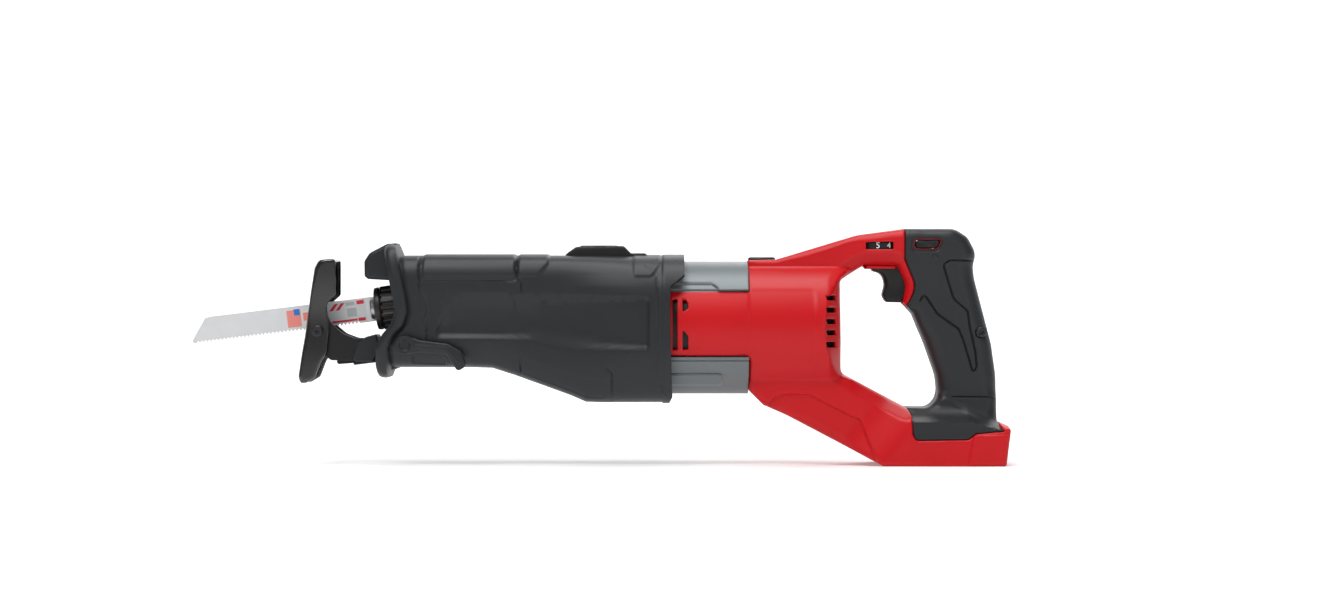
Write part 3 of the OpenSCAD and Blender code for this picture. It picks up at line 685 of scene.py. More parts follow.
@dataclass
class HalfShell:
    """Half of a moulded casing: a raised side outline, with a rounded rim and walls to the split plane."""

    outline: np.ndarray
    height: Field
    rim: Field | float = 1.0
    holes: Sequence[np.ndarray] = ()
    wall_end: Field | float = 0.0
    grid: float = 1.4
    rim_line: Sequence[np.ndarray] = ()
    extra: Sequence[np.ndarray] = ()

    def _rim_at(self, p: np.ndarray) -> np.ndarray:
        """The rim's radius at each point."""
        return self.rim(p) if callable(self.rim) else np.full(len(p), float(self.rim))

    def level(self, p: np.ndarray) -> np.ndarray:
        """Height of the skin at each point, rim included."""
        lines = list(self.rim_line) or [self.outline]
        d = np.min([nearest(p, line) for line in lines], axis=0)
        r = self._rim_at(p)
        inward = np.clip(r - d, 0, r)
        return self.height(p) - r + np.sqrt(np.maximum(r * r - inward * inward, 0))

    def _points(self) -> np.ndarray:
        """Points inside the outline: rings along the rim, then an even pattern."""
        rings = []
        for line in list(self.rim_line) or [self.outline]:
            tangent = np.roll(line, -1, axis=0) - np.roll(line, 1, axis=0)
            tangent /= np.linalg.norm(tangent, axis=1)[:, None] + 1e-9
            normal = np.stack((-tangent[:, 1], tangent[:, 0]), 1)
            r = self._rim_at(line)
            for phi in (18, 36, 54, 72, 90):
                d = r * (1 - math.cos(math.radians(phi)))
                for side in (1, -1):
                    ring = line + normal * (side * d)[:, None]
                    ring = ring[np.abs(nearest(ring, line) - d) < 0.03 + 0.02 * d]
                    rings.append(ring)
        low, high = self.outline.min(0), self.outline.max(0)
        rows = np.arange(low[1], high[1], self.grid * 0.866)
        columns = [np.arange(low[0] + shift, high[0], self.grid) for shift in (0, self.grid / 2)]
        field = [np.stack((columns[k % 2], np.full(len(columns[k % 2]), row)), 1) for k,
                 row in enumerate(rows)]
        p = np.concatenate(rings + list(self.extra) + field)
        ok = inside(p, self.outline) & (nearest(p, self.outline) > 0.22)
        for hole in self.holes:
            ok &= ~inside(p, hole) & (nearest(p, hole) > 0.22)
        p = p[ok]
        cells = np.round(p / 0.35).astype(int)
        _, first = np.unique(cells, axis=0, return_index=True)
        return p[np.sort(first)]

    def build(self) -> tuple[np.ndarray, list]:
        """Points and faces of the half on the -Y side."""
        loops = [self.outline, *self.holes]
        flat, tri = filled(np.concatenate((*loops, self._points())), loops)
        verts = upright(flat, -self.level(flat))
        faces = [tuple(f) for f in tri]
        n = len(self.outline)
        end = self.wall_end(self.outline) if callable(self.wall_end) else np.full(n, float(self.wall_end))
        here = len(verts)
        head = upright(self.outline, -self.level(self.outline))
        rows = [head * (1, 1 - k / WALL_ROWS, 1) + np.stack((0 * end, -end, 0 * end), 1) * k / WALL_ROWS
                for k in range(WALL_ROWS + 1)]
        verts = np.concatenate([verts, *rows])
        for k in range(WALL_ROWS):
            row, after = here + k * n, here + (k + 1) * n
            for i in range(n):
                j = (i + 1) % n
                if end[i] >= 0 and end[j] >= 0:
                    faces.append((row + j, row + i, after + i, after + j))
        used = np.zeros(len(verts), bool)
        for f in faces:
            used[list(f)] = True
        index = np.cumsum(used) - 1
        return verts[used], [tuple(int(index[v]) for v in f) for f in faces]


def mirrored(verts: np.ndarray, faces: list) -> tuple[np.ndarray, list]:
    """The same half on the +Y side."""
    return verts * (1, -1, 1), flipped(faces)


def both(verts: np.ndarray, faces: list) -> tuple[np.ndarray, list]:
    """The two halves as one mesh."""
    return joined([(verts, faces), mirrored(verts, faces)])


# ---------------------------------------------------------------- red housing and grip
LOWER_RED: list[Corner] = [(-184, 73.8, 0), (-130.6, 73.8, 4), (-130.6, 50.3, 2), (-121, 40.8, 4),
                           (-105.4, 34, 6), (-40.8, 0, 6), (41.5, 0, 1.5), (44.4, 24, 2), (43, 27, 1),
                           (36.9, 29.8, 0.5)]
GRIP_BACK: list[Corner] = [(36.8, 60, 60), (33.6, 82, 60), (22.2, 126, 40), (21.4, 134, 8), (23.4, 143, 12),
                           (17.5, 154, 10), (9, 159.4, 12)]
TOP_RED: list[Corner] = [(-25.2, 159.4, 0), (-57.1, 155.2, 40), (-112.2, 138.6, 10), (-131, 138.2, 0.5),
                         (-131, 117, 0.5), (-184, 117, 0)]
GRIP_FRONT: list[Corner] = [(-19.6, 102, 8), (-11.6, 82.5, 70), (-3.6, 60, 40), (-2.6, 46, 12),
                            (-8.5, 38.9, 8)]
OPEN_RED: list[Corner] = [(-24.6, 38.9, 0.6), (-68.6, 62.4, 5), (-69.4, 124.4, 4), (-52.4, 134.8, 5),
                          (-30.5, 134.8, 3), (-24.2, 122, 14), (-26.4, 109.2, 0.8), (-23.5, 106.6, 0.6)]
BACK_SEAM: list[Corner] = [(-17.6, 120.5, 14), (-25.2, 139, 4)]
LOW_SEAM: list[Corner] = [(40.6, 23.4, 1), (21.1, 21.6, 3), (16, 17.7, 3), (-19, 17.1, 3), (-21.4, 21.6, 3),
                          (-21.8, 34.6, 2)]


def slot_loop(x0: float, x1: float, z0: float, z1: float, r: float = 0.6) -> np.ndarray:
    """A rounded rectangular loop."""
    return rounded([(x0, z0, r), (x1, z0, r), (x1, z1, r), (x0, z1, r)], 0.8)


def round_loop(x: float, z: float, r: float, count: int = 28) -> np.ndarray:
    """A circular loop."""
    a = np.linspace(0, 2 * math.pi, count, endpoint=False)
    return np.stack((x + r * np.cos(a), z + r * np.sin(a)), 1)


@dataclass
class Handle:
    """The red clamshell with its D-shaped handle, and the two soft grip covers."""

    barrel_radius: float = 43.5
    barrel_height: float = 92.5
    arm_half: float = 15.0
    grip_half: float = 17.0
    lower_half: float = 27.0
    foot_half: float = 37.0
    chamfer: float = 8.5
    skin: float = 2.4
    vents: tuple[tuple[float, float], ...] = ((111.0, 114.5), (102.8, 106.3), (95.2, 98.6), (87.7, 91.1),
                                              (79.4, 83.4))

    def __post_init__(self) -> None:
        """Draws the lines that the skins share."""
        self.outer = rounded(LOWER_RED + GRIP_BACK + TOP_RED)
        self.opening = rounded(OPEN_RED + GRIP_FRONT)
        self.red = rounded(LOWER_RED + LOW_SEAM + OPEN_RED + BACK_SEAM + TOP_RED)
        self.dark = rounded(LOW_SEAM[::-1] + [(36.9, 29.8, 0.5)] + GRIP_BACK + [(-25.2, 159.4, 0)]
                            + BACK_SEAM[::-1] + [(-23.5, 106.6, 0.6)] + GRIP_FRONT + [(-24.6, 38.9, 0.6)])
        self.back_seam = rounded([(-25.2, 161, 0)] + BACK_SEAM[::-1] + [(-23.5, 105, 0)], closed=False)
        self.low_seam = rounded([(36.9, 31, 0)] + LOW_SEAM + [(-24.6, 40, 0)], closed=False)

    def seam_drop(self, p: np.ndarray) -> np.ndarray:
        """The small valley where the red and the dark skins meet."""
        d = np.minimum(nearest(p, self.back_seam, False), nearest(p, self.low_seam, False))
        return 0.8 * (1 - smooth(d / 0.9))

    def ridge(self, x: np.ndarray) -> np.ndarray:
        """Height of the ridge where the grip's foot turns from top to side."""
        return np.interp(x, [-30, 16.6, 40.2], [30, 30, 23.8])

    def red_height(self, p: np.ndarray) -> np.ndarray:
        """Half width of the red housing at each point of its side view."""
        x, z = p[:, 0], p[:, 1]
        dz = z - self.barrel_height
        over = np.maximum(np.abs(dz) - self.barrel_radius, 0)
        barrel = np.sqrt(np.maximum(self.barrel_radius ** 2 - dz ** 2, 0)) - 3 * over
        barrel = soft_min(barrel, self.lower_half + 1.5 * (-69.4 - x), 1.5)
        arm = self.arm_half + 1.8 * smooth((x + 60) / 34)
        low = self.lower_half + (self.foot_half - self.lower_half) * smooth((x + 85 - 0.9 * z) / 45)
        limit = np.interp(x, [-68, -26, -21, 16.6, 40], [60, 45, 31, 31, 25])
        low = low - 3 * np.maximum(0, z - limit)
        h = soft_max(soft_max(barrel, arm, 3), low, 1.2)
        drop = mixed(p, [(-68, 59, 6), (-50, 50, 11), (-30, 40, 15), (-72, 92, 0), (-70, 120, 3),
                         (-62, 131, 6), (-40, 138, 6), (-27, 134, 5), (-20, 150, 0), (-24, 20, 0),
                         (-100, 92, 0)])
        h = h - drop * np.maximum(0, 1 - nearest(p, self.opening) / self.chamfer)
        for mark in self.red_marks():
            h = h - mark.drop(p)
        return h - self.seam_drop(p)

    def red_marks(self) -> list[Groove | Panel]:
        """Panels and lines of the red housing."""
        return [
            Panel(((14.6, -4, 0), (60, -4, 0), (60, 21.4, 0), (19.6, 20.6, 1)), -0.9, 0.9),
            Panel(((-113, 46, 3), (-108, 48.2, 4), (-90.6, 48.0, 8), (-61.9, 33.3, 6), (-55.8, 31.3, 4),
                   (-52, 20, 0), (-40, -8, 0), (-140, -8, 0), (-121, 38, 0)), 1.7, 1.1),
            Panel(((-131, 60, 0), (-86.5, 60, 3), (-86.5, 118, 3), (-131, 118, 0)), 0.35, 3),
            Groove(((-128, 51, 0), (-121.5, 44.5, 4), (-112, 39.5, 0)), 0.5, 0.9),
        ]

    def dark_height(self, p: np.ndarray) -> np.ndarray:
        """Half width of the grip covers at each point of their side view."""
        x, z = p[:, 0], p[:, 1]
        above = np.maximum(0, z - self.ridge(x))
        saddle = np.where(above > 0, 17 + 19.2 * np.exp(-above / 3.8), 36.2 + 0.02 * (self.ridge(x) - z))
        grip = self.grip_half + 0.8 * np.exp(-((z - 75) / 26) ** 2) - 0.7 * np.exp(-((z - 118) / 10) ** 2)
        h = soft_max(grip, saddle, 1.0)
        for mark in self.dark_marks():
            h = h - mark.drop(p)
        return h - self.seam_drop(p)

    def dark_marks(self) -> list[Groove | Panel]:
        """Lines of the grip covers, and the recess round the lock button."""
        return [
            Groove(((24, 138, 0), (4.8, 138, 2), (0.7, 134.6, 2), (7.5, 112.2, 8), (17.0, 104.0, 4),
                    (18.4, 93.2, 6), (22.1, 76.8, 30), (23.1, 66.6, 2), (20.8, 61.6, 0.8), (14.3, 83.6, 8),
                    (10.9, 91.8, 4), (-3.1, 101.7, 6), (-12.2, 115.2, 2), (-15.0, 111, 0)), 1.1, 0.95),
            Groove(((6.8, 45.9, 0), (37, 45.9, 0)), 0.8, 0.8),
            Groove(((-4, 42, 0), (2, 44.6, 8), (38, 25.6, 0)), -0.9, 3.0),
            Panel(((-20.8, 143.9, 3), (-2.8, 143.9, 3), (2.0, 153.8, 3), (-20.8, 153.8, 3)), 0.9, 1.2),
            Groove(((-6.4, 139.4, 0), (-3.4, 139.4, 0), (-3.4, 142.0, 0), (-6.4, 142.0, 0)), 0.4, 0.5, True),
        ]

    def rim(self, p: np.ndarray) -> np.ndarray:
        """Radius of the rounded edge near each point of the side view."""
        return mixed(p, [(-150, 117, 0.8), (-150, 73.8, 0.8), (-130, 128, 1.0), (-120, 138, 3.5),
                         (-85, 147, 5), (-45, 158, 6), (-130.6, 60, 2.5), (-121, 40, 4), (-80, 20, 6),
                         (-45, 2, 3), (0, 0, 1.2), (44, 10, 3), (44, 26, 2), (37, 36, 8), (35.5, 60, 12),
                         (28, 100, 12), (22, 130, 12), (20, 152, 10), (-5, 159, 8), (-24, 159, 7),
                         (-10, 80, 11), (-3.5, 55, 11), (-18, 100, 8), (-3.5, 44, 6), (-10, 39, 4),
                         (-24, 39, 2.5), (-50, 52, 2.2), (-68, 64, 2), (-69, 92, 2), (-69, 122, 2),
                         (-55, 133, 2.4), (-40, 135, 3), (-24.5, 122, 3), (-24, 107, 2.5)], 4)

    def red_end(self, p: np.ndarray) -> np.ndarray:
        """How far from the split plane the walls of the red skin stop; under zero there is no wall."""
        x, z = p[:, 0], p[:, 1]
        end = np.zeros(len(p))
        end[(z < 1.2) & (x > -33) & (x < 43)] = 25
        end[(x > 38) & (z < 12.5)] = 31
        end[(x > -51) & (x < -21) & (z > 106) & (z < 137)] = 8.6
        seam = np.minimum(nearest(p, self.outer), nearest(p, self.opening)) > 0.4
        end[seam | (x < -130.4)] = -1
        return end

    def dark_end(self, p: np.ndarray) -> np.ndarray:
        """The same for the grip covers."""
        seam = np.minimum(nearest(p, self.outer), nearest(p, self.opening)) > 0.4
        return np.where(seam, -1.0, 0.0)

    def red_holes(self) -> list[np.ndarray]:
        """Openings through the red skin on both sides."""
        slots = [slot_loop(-182.2, -178.8, 77.5, 112.2), slot_loop(-51.5, -33.0, 145.5, 150.6)]
        slots.append(rounded([(-175.2, 103.3, 0.4), (-171.5, 105.8, 0.4), (-171.5, 108.4, 0.6),
                              (-173, 111.8, 0.6), (-175.2, 111.8, 0.4)], 0.8))
        slots.append(rounded([(-175.2, 77.7, 0.4), (-171.5, 77.7, 0.4), (-171.5, 87, 0.6),
                              (-175.2, 92.1, 0.6)], 0.8))
        slots += [rounded([(-78.6, low, 0.5), (-72.2, low, 0.5), (-72.2, high, 0.5), (-79.8, high, 0.5)], 0.8)
                  for low, high in self.vents]
        return slots

    def lock_hole(self) -> np.ndarray:
        """The lock button's slot."""
        return rounded([(-19.2, 145.7, 2.6), (-3.6, 145.7, 2.2), (0.2, 152.2, 1.6), (-18.6, 152.2, 2.6)], 0.8)

    def build(self) -> None:
        """Makes both halves of the housing and of the grip covers."""
        lines = (self.outer, self.opening)
        seams = [beside(line, (0.45, 0.9)) for line in (self.back_seam, self.low_seam)]
        for side, name in SIDES:
            red_screws, dark_screws = (
                [round_loop(x, z, radius) for x, z, at in Screws.places
                 if at == side and inside(np.array([(x, z)]), outline)[0]]
                for outline, radius in ((self.red, 4.3), (self.dark, 3.9)))
            red = HalfShell(self.red, self.red_height, self.rim, self.red_holes() + red_screws, self.red_end,
                            1.5, lines, self._ridges() + seams + [m.trace() for m in self.red_marks()])
            dark = HalfShell(self.dark, self.dark_height, self.rim, [self.lock_hole()] + dark_screws,
                             self.dark_end, 1.3, lines, seams + [m.trace() for m in self.dark_marks()])
            for shell, label, finish in ((red, "housing_", Finish.RED),
                                         (dark, "grip_cover_", Finish.CHARCOAL)):
                made = shell.build() if side < 0 else mirrored(*shell.build())
                piece(f"{label}{name}_skin", *made, finish, "frame", [label + name], wall=self.skin, angle=38)

    def vent_shade_sheets(self) -> None:
        """Black sheets behind the cooling slots: painted shade, so that the slots look dark inside."""
        # A black ring under the slots near the gear case: painted shade for the hollow behind them.
        ring = [(-184, 39.2, 0.2), (-184, 40.2, 0.2), (-166, 40.2, 0.2), (-166, 39.2, 0.2)]
        made = lathe(ring, Vector((0, 0, self.barrel_height)), Vector((1, 0, 0)), 96, step=3)
        piece("intake_shade_ring", *made, Finish.BLACK, "frame")
        # Black plates behind the side vents: painted shade for the hollow behind them.
        outline = [(-84, 72, 1), (-72, 72, 1), (-72, 120, 1), (-84, 120, 1)]
        for side, name in SIDES:
            y0, y1 = sorted((side * 21.0, side * 22.2))
            piece(f"exhaust_shade_sheet_{name}", *plate(outline, y0, y1), Finish.BLACK, "frame")

    def _ridges(self) -> list[np.ndarray]:
        """Points along the creases, so that they stay crisp."""
        lines = [[(-131, 59.0, 0), (-77.5, 59.0, 0)], [(-79.6, 62, 0), (-79.6, 122, 0)],
                 [(-77.2, 56.6, 0), (-26, 30.6, 0)], [(-78, 127.5, 0), (-55, 143, 0), (-34, 143.3, 0)],
                 [(-128, 134.4, 0), (-70, 134.4, 0)]]
        return [rounded(line, 0.9, False) for line in lines]


@dataclass
class BatteryFoot:
    """The liner of the battery pocket, with its two rails."""

    rail_in: float = 25.2
    wall_in: float = 31.0
    roof: float = 12.5
    front: float = -31.0
    rear: float = 41.4

    def build(self) -> None:
        """Makes the liner."""
        right = [(self.rail_in, 0.1, 0.4), (self.rail_in, 3, 0.5), (self.wall_in, 3, 1),
                 (self.wall_in, self.roof, 1.5)]
        section = rounded(right + [(-y, z, r) for y, z, r in right[::-1]], 1.2, False)
        count = 46
        xs = np.linspace(self.rear, self.front, count)
        verts = np.array([(x, y, z) for x in xs for y, z in section])
        faces = flipped(grid_faces(count, len(section), wrap=False))
        last = (count - 1) * len(section)
        faces.append(tuple(range(last, last + len(section))))
        piece("battery_pocket_liner", verts, faces, Finish.RED, "frame", wall=1.6)


@dataclass
class Screws:
    """Star-recess screws of the housing and of the gear case."""

    head: float = 3.7
    sunk: float = 1.4
    proud: float = 2.9
    tip: float = 3.0
    places: tuple[tuple[float, float, int], ...] = ((26, 89.5, -1), (-2, 30, 1), (-84, 68, 1), (-41, 22, 1),
                                                    (-90, 140, 1), (8.5, 147.5, 1))
    case_places: tuple[tuple[float, float, float, int], ...] = ((-306, 131, 18, -1), (-285, 75.4, 18, -1),
                                                                (-186, 126.5, 20, -1), (-186, 58.5, 20, -1))

    def _one(self, x: float, z: float, top: float, side: int, foot: float) -> tuple[np.ndarray, list]:
        """One screw whose head is at a height from the split plane."""
        def star(rows: np.ndarray) -> np.ndarray:
            """The lobes of the recess, where the radius is small."""
            near = (rows[:, 2] < self.head * 0.62) & (rows[:, 0] > -2.4)
            return np.where(near, 0.26 * np.cos(6 * rows[:, 1]), 0)
        profile = [(-1.9, 0.02, 0), (-1.9, 1.5, 0.2), (0, 1.75, 0.25), (0.1, self.head - 0.5, 0.5),
                   (-0.6, self.head, 0.4), (-2.6, self.head, 0.2), (-2.6, 2.3, 0.3), (foot - top, 2.3, 0.4),
                   (foot - top, 0.02, 0)]
        return lathe(profile, Vector((x, side * top, z)), Vector((0, side, 0)), 48, star, closed=False,
                     step=0.5)

    def build(self, handle: Handle) -> None:
        """Makes both groups of screws."""
        made = []
        for x, z, side in self.places:
            spot = np.array([(x, z)], float)
            height = handle.dark_height if inside(spot, handle.dark)[0] else handle.red_height
            made.append(self._one(x, z, float(height(spot)[0]) - self.sunk, side, self.tip))
        piece("housing_screw_set", *joined(made), Finish.SCREW, "frame", ["housing_screws"])
        made = [self._one(x, z, half + self.proud, side, -half) for x, z, half, side in self.case_places]
        piece("gear_case_screw_set", *joined(made), Finish.SCREW, "frame", ["gear_case_screws"])


@dataclass
class Controls:
    """Trigger, lock button with its red surround, and the numbered speed dial."""

    dial_radius: float = 15.6
    teeth: int = 60
    figure_size: float = 6.0
    figure_step: float = 28.5
    last_figure: float = -123.5

    def trigger(self) -> None:
        """The pistol trigger."""
        outline = rounded([(-47.6, 131.2, 2), (-40.4, 129.2, 8), (-38.3, 122, 10), (-40.2, 114.5, 4),
                           (-37.6, 109.8, 3), (-27.2, 109.6, 1.4), (-24.6, 112, 2), (-19.2, 113, 1),
                           (-19.2, 137.2, 1), (-46.4, 137.2, 2)], 0.8)
        radii = [(-46, 133, 2), (-39, 124, 4.5), (-40, 112, 3), (-30, 109, 2), (-19, 125, 0.6),
                 (-30, 137, 0.6)]

        def height(p: np.ndarray) -> np.ndarray:
            """Half width, with a shallow finger hollow."""
            return 8.0 - 0.5 * np.exp(-((p[:, 1] - 121) / 6) ** 2)

        shell = HalfShell(outline, height, lambda p: mixed(p, radii), grid=1.0)
        piece("trigger_blade", *both(*shell.build()), Finish.BLACK, "trigger_body", ["trigger"])

    def lock(self, handle: Handle) -> None:
        """The sliding lock button and the trim around its slot."""
        outline = rounded([(-18.3, 146.5, 2.2), (-4.0, 146.5, 1.8), (-1.0, 151.4, 1.4), (-17.8, 151.4, 2.2)],
                          0.6)

        def height(p: np.ndarray) -> np.ndarray:
            """Half length, with a dished end."""
            middle = np.array((-10, 149))
            return 17.6 - 0.9 * np.exp(-(np.linalg.norm((p - middle) * (0.28, 0.9), axis=1)) ** 2)

        shell = HalfShell(outline, height, 0.9, grid=0.7)
        piece("lock_slide", *both(*shell.build()), Finish.BLACK, "lock", ["lock_button"])
        hole = handle.lock_hole()
        centre = hole.mean(0)
        for side, name in SIDES:
            level = handle.dark_height(hole)
            rings = []
            for grow, rise in ((0.99, -3.0), (0.985, -0.2), (0.99, 0.15), (1.0, 0.3), (1.02, 0.3),
                               (1.036, 0.1), (1.04, -0.6)):
                ring = centre + (hole - centre) * (grow, 1 + (grow - 1) * 2.4)
                rings.append(upright(ring, side * (level + rise)))
            verts, faces = loft(rings)
            piece(f"lock_trim_{name}", verts, faces if side < 0 else flipped(faces), Finish.TRIM, "frame",
                  wall=0.25)

    def dial(self) -> None:
        """The speed dial: a knurled disc with numbers on its rim."""
        low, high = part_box("speed_dial")
        middle = (low + high) / 2 / MM
        half = (high.z - low.z) / 2 / MM
        r = self.dial_radius

        def knurl(rows: np.ndarray) -> np.ndarray:
            """Teeth on the upper and the lower edge of the rim."""
            edge = (rows[:, 2] > r - 1.2) & (np.abs(rows[:, 0]) > half * 0.62)
            return np.where(edge, 0.22 * np.sign(np.cos(self.teeth * rows[:, 1])) - 0.22, 0)

        profile = [(-half, 3, 0.5), (-half, r - 0.3, 0.5), (-half * 0.66, r, 0.2),
                   (-half * 0.6, r - 0.25, 0.1), (half * 0.6, r - 0.25, 0.1), (half * 0.66, r, 0.2),
                   (half, r - 0.3, 0.5), (half, 3, 0.5)]
        made = lathe(profile, middle, Vector((0, 0, 1)), self.teeth * 6, knurl, step=0.5)
        piece("dial_wheel", *made, Finish.BLACK, "dial", ["speed_dial"])
        white = PAINTS.extra("dial_numbers", Moulding((0.85, 0.85, 0.85), 0.45))
        for side, name in SIDES:
            for i, figure in enumerate("12345"):
                turn = math.radians(self.last_figure + self.figure_step * (5 - i))
                self._figure(figure, middle, name, turn + (math.pi if side > 0 else 0), white)

    def _figure(self, figure: str, middle: Vector, side: str, turn: float, white: bpy.types.Material) -> None:
        """One number, bent round the dial's rim.

        Args:
            figure: the number.
            middle: centre of the dial, in millimetres.
            side: the side that its set starts on.
            turn: its place around the rim.
            white: its paint.
        """
        curve = bpy.data.curves.new(f"dial_number_{figure}", "FONT")
        curve.body, curve.size, curve.align_x, curve.align_y = figure, self.figure_size, "CENTER", "CENTER"
        curve.extrude, curve.resolution_u = 0.12, 4
        shape = bpy.data.objects.new("shape", curve)
        bpy.context.scene.collection.objects.link(shape)
        bpy.context.view_layer.update()
        mesh = bpy.data.meshes.new_from_object(shape.evaluated_get(bpy.context.evaluated_depsgraph_get()))
        bpy.data.objects.remove(shape)
        flat = np.array([v.co for v in mesh.vertices])
        faces = [tuple(f.vertices) for f in mesh.polygons]
        angle = turn + flat[:, 0] / self.dial_radius
        radius = self.dial_radius - 0.25 + flat[:, 2]
        verts = np.stack((middle.x + radius * np.cos(angle), middle.y + radius * np.sin(angle),
                          middle.z + flat[:, 1]), 1)
        made = piece(f"dial_number_{figure}_{side}", verts, faces, Finish.BLACK, "dial")
        made.data.materials[0] = white

    def build(self, handle: Handle) -> None:
        """Makes the controls."""
        self.trigger()
        self.lock(handle)
        self.dial()


# ---------------------------------------------------------------- nose of the tool
def loft(rings: Sequence[np.ndarray], caps: tuple[bool, bool] = (False, False)) -> tuple[np.ndarray, list]:
    """Joins closed rings of equal length into a tube, with its ends closed where asked."""
    n = len(rings[0])
    faces = grid_faces(len(rings), n)
    if caps[0]:
        faces.append(tuple(reversed(range(n))))
    if caps[1]:
        faces.append(tuple(range((len(rings) - 1) * n, len(rings) * n)))
    return np.concatenate(rings), faces


def plate(outline: Sequence[Corner], y0: float, y1: float, step: float = 1.0) -> tuple[np.ndarray, list]:
    """A flat plate between two y values, drawn in its side view."""
    line = rounded(outline, step)
    turn = np.roll(line, -1, axis=0)
    if (line[:, 0] * turn[:, 1] - turn[:, 0] * line[:, 1]).sum() < 0:
        line = line[::-1]
    return loft([upright(line, y1), upright(line, y0)], (True, True))


@dataclass
class GearCase:
    """The grey cast collars of the gear case, above and below the red side tongues."""

    radius: float = 43.7
    axis: float = 92.5

    def _strip(self, name: str, side: int, xs: np.ndarray, zs: np.ndarray, drop: Field) -> None:
        """One curved skin with a side view grid.

        Args:
            name: its name.
            side: -1 for left, 1 for right.
            xs: stations along the tool.
            zs: heights.
            drop: how far below the round surface each point lies.
        """
        x, z = np.meshgrid(xs, zs, indexing="ij")
        p = np.stack((x.ravel(), z.ravel()), 1)
        reach = self.radius - drop(p)
        y = np.sqrt(np.maximum(reach ** 2 - np.minimum((p[:, 1] - self.axis) ** 2, reach ** 2 - 4), 0))
        faces = grid_faces(len(xs), len(zs), wrap=False)
        piece(name, upright(p, side * y), faces if side < 0 else flipped(faces), Finish.CASE, "frame",
              wall=1.6, angle=50)

    def build(self) -> None:
        """Makes the four strips."""
        step = Panel(((-190, 110, 0), (-154.4, 110, 0), (-150.5, 118.3, 1), (-154.8, 121.6, 1),
                      (-190, 121.6, 0)),
                     1.3, 1.2)
        rib = Panel(((-190, 55.6, 0), (-149.5, 55.6, 1.5), (-149.5, 61.9, 1.5), (-190, 61.9, 0)), -1.3, 1.2)
        lip = Groove(((-190, 71.4, 0), (-120, 71.4, 0)), 0.6, 1.0)
        xs = np.linspace(-183.6, -130.9, 66)
        for side, name in SIDES:
            self._strip(f"case_collar_top_{name}", side, xs, np.linspace(117.3, 135.8, 34), step.drop)
            self._strip(f"case_collar_low_{name}", side, xs, np.linspace(49.6, 73.4, 40),
                        lambda p: rib.drop(p) + lip.drop(p))


MOUTH_CENTRE = np.array((0, 101.0))


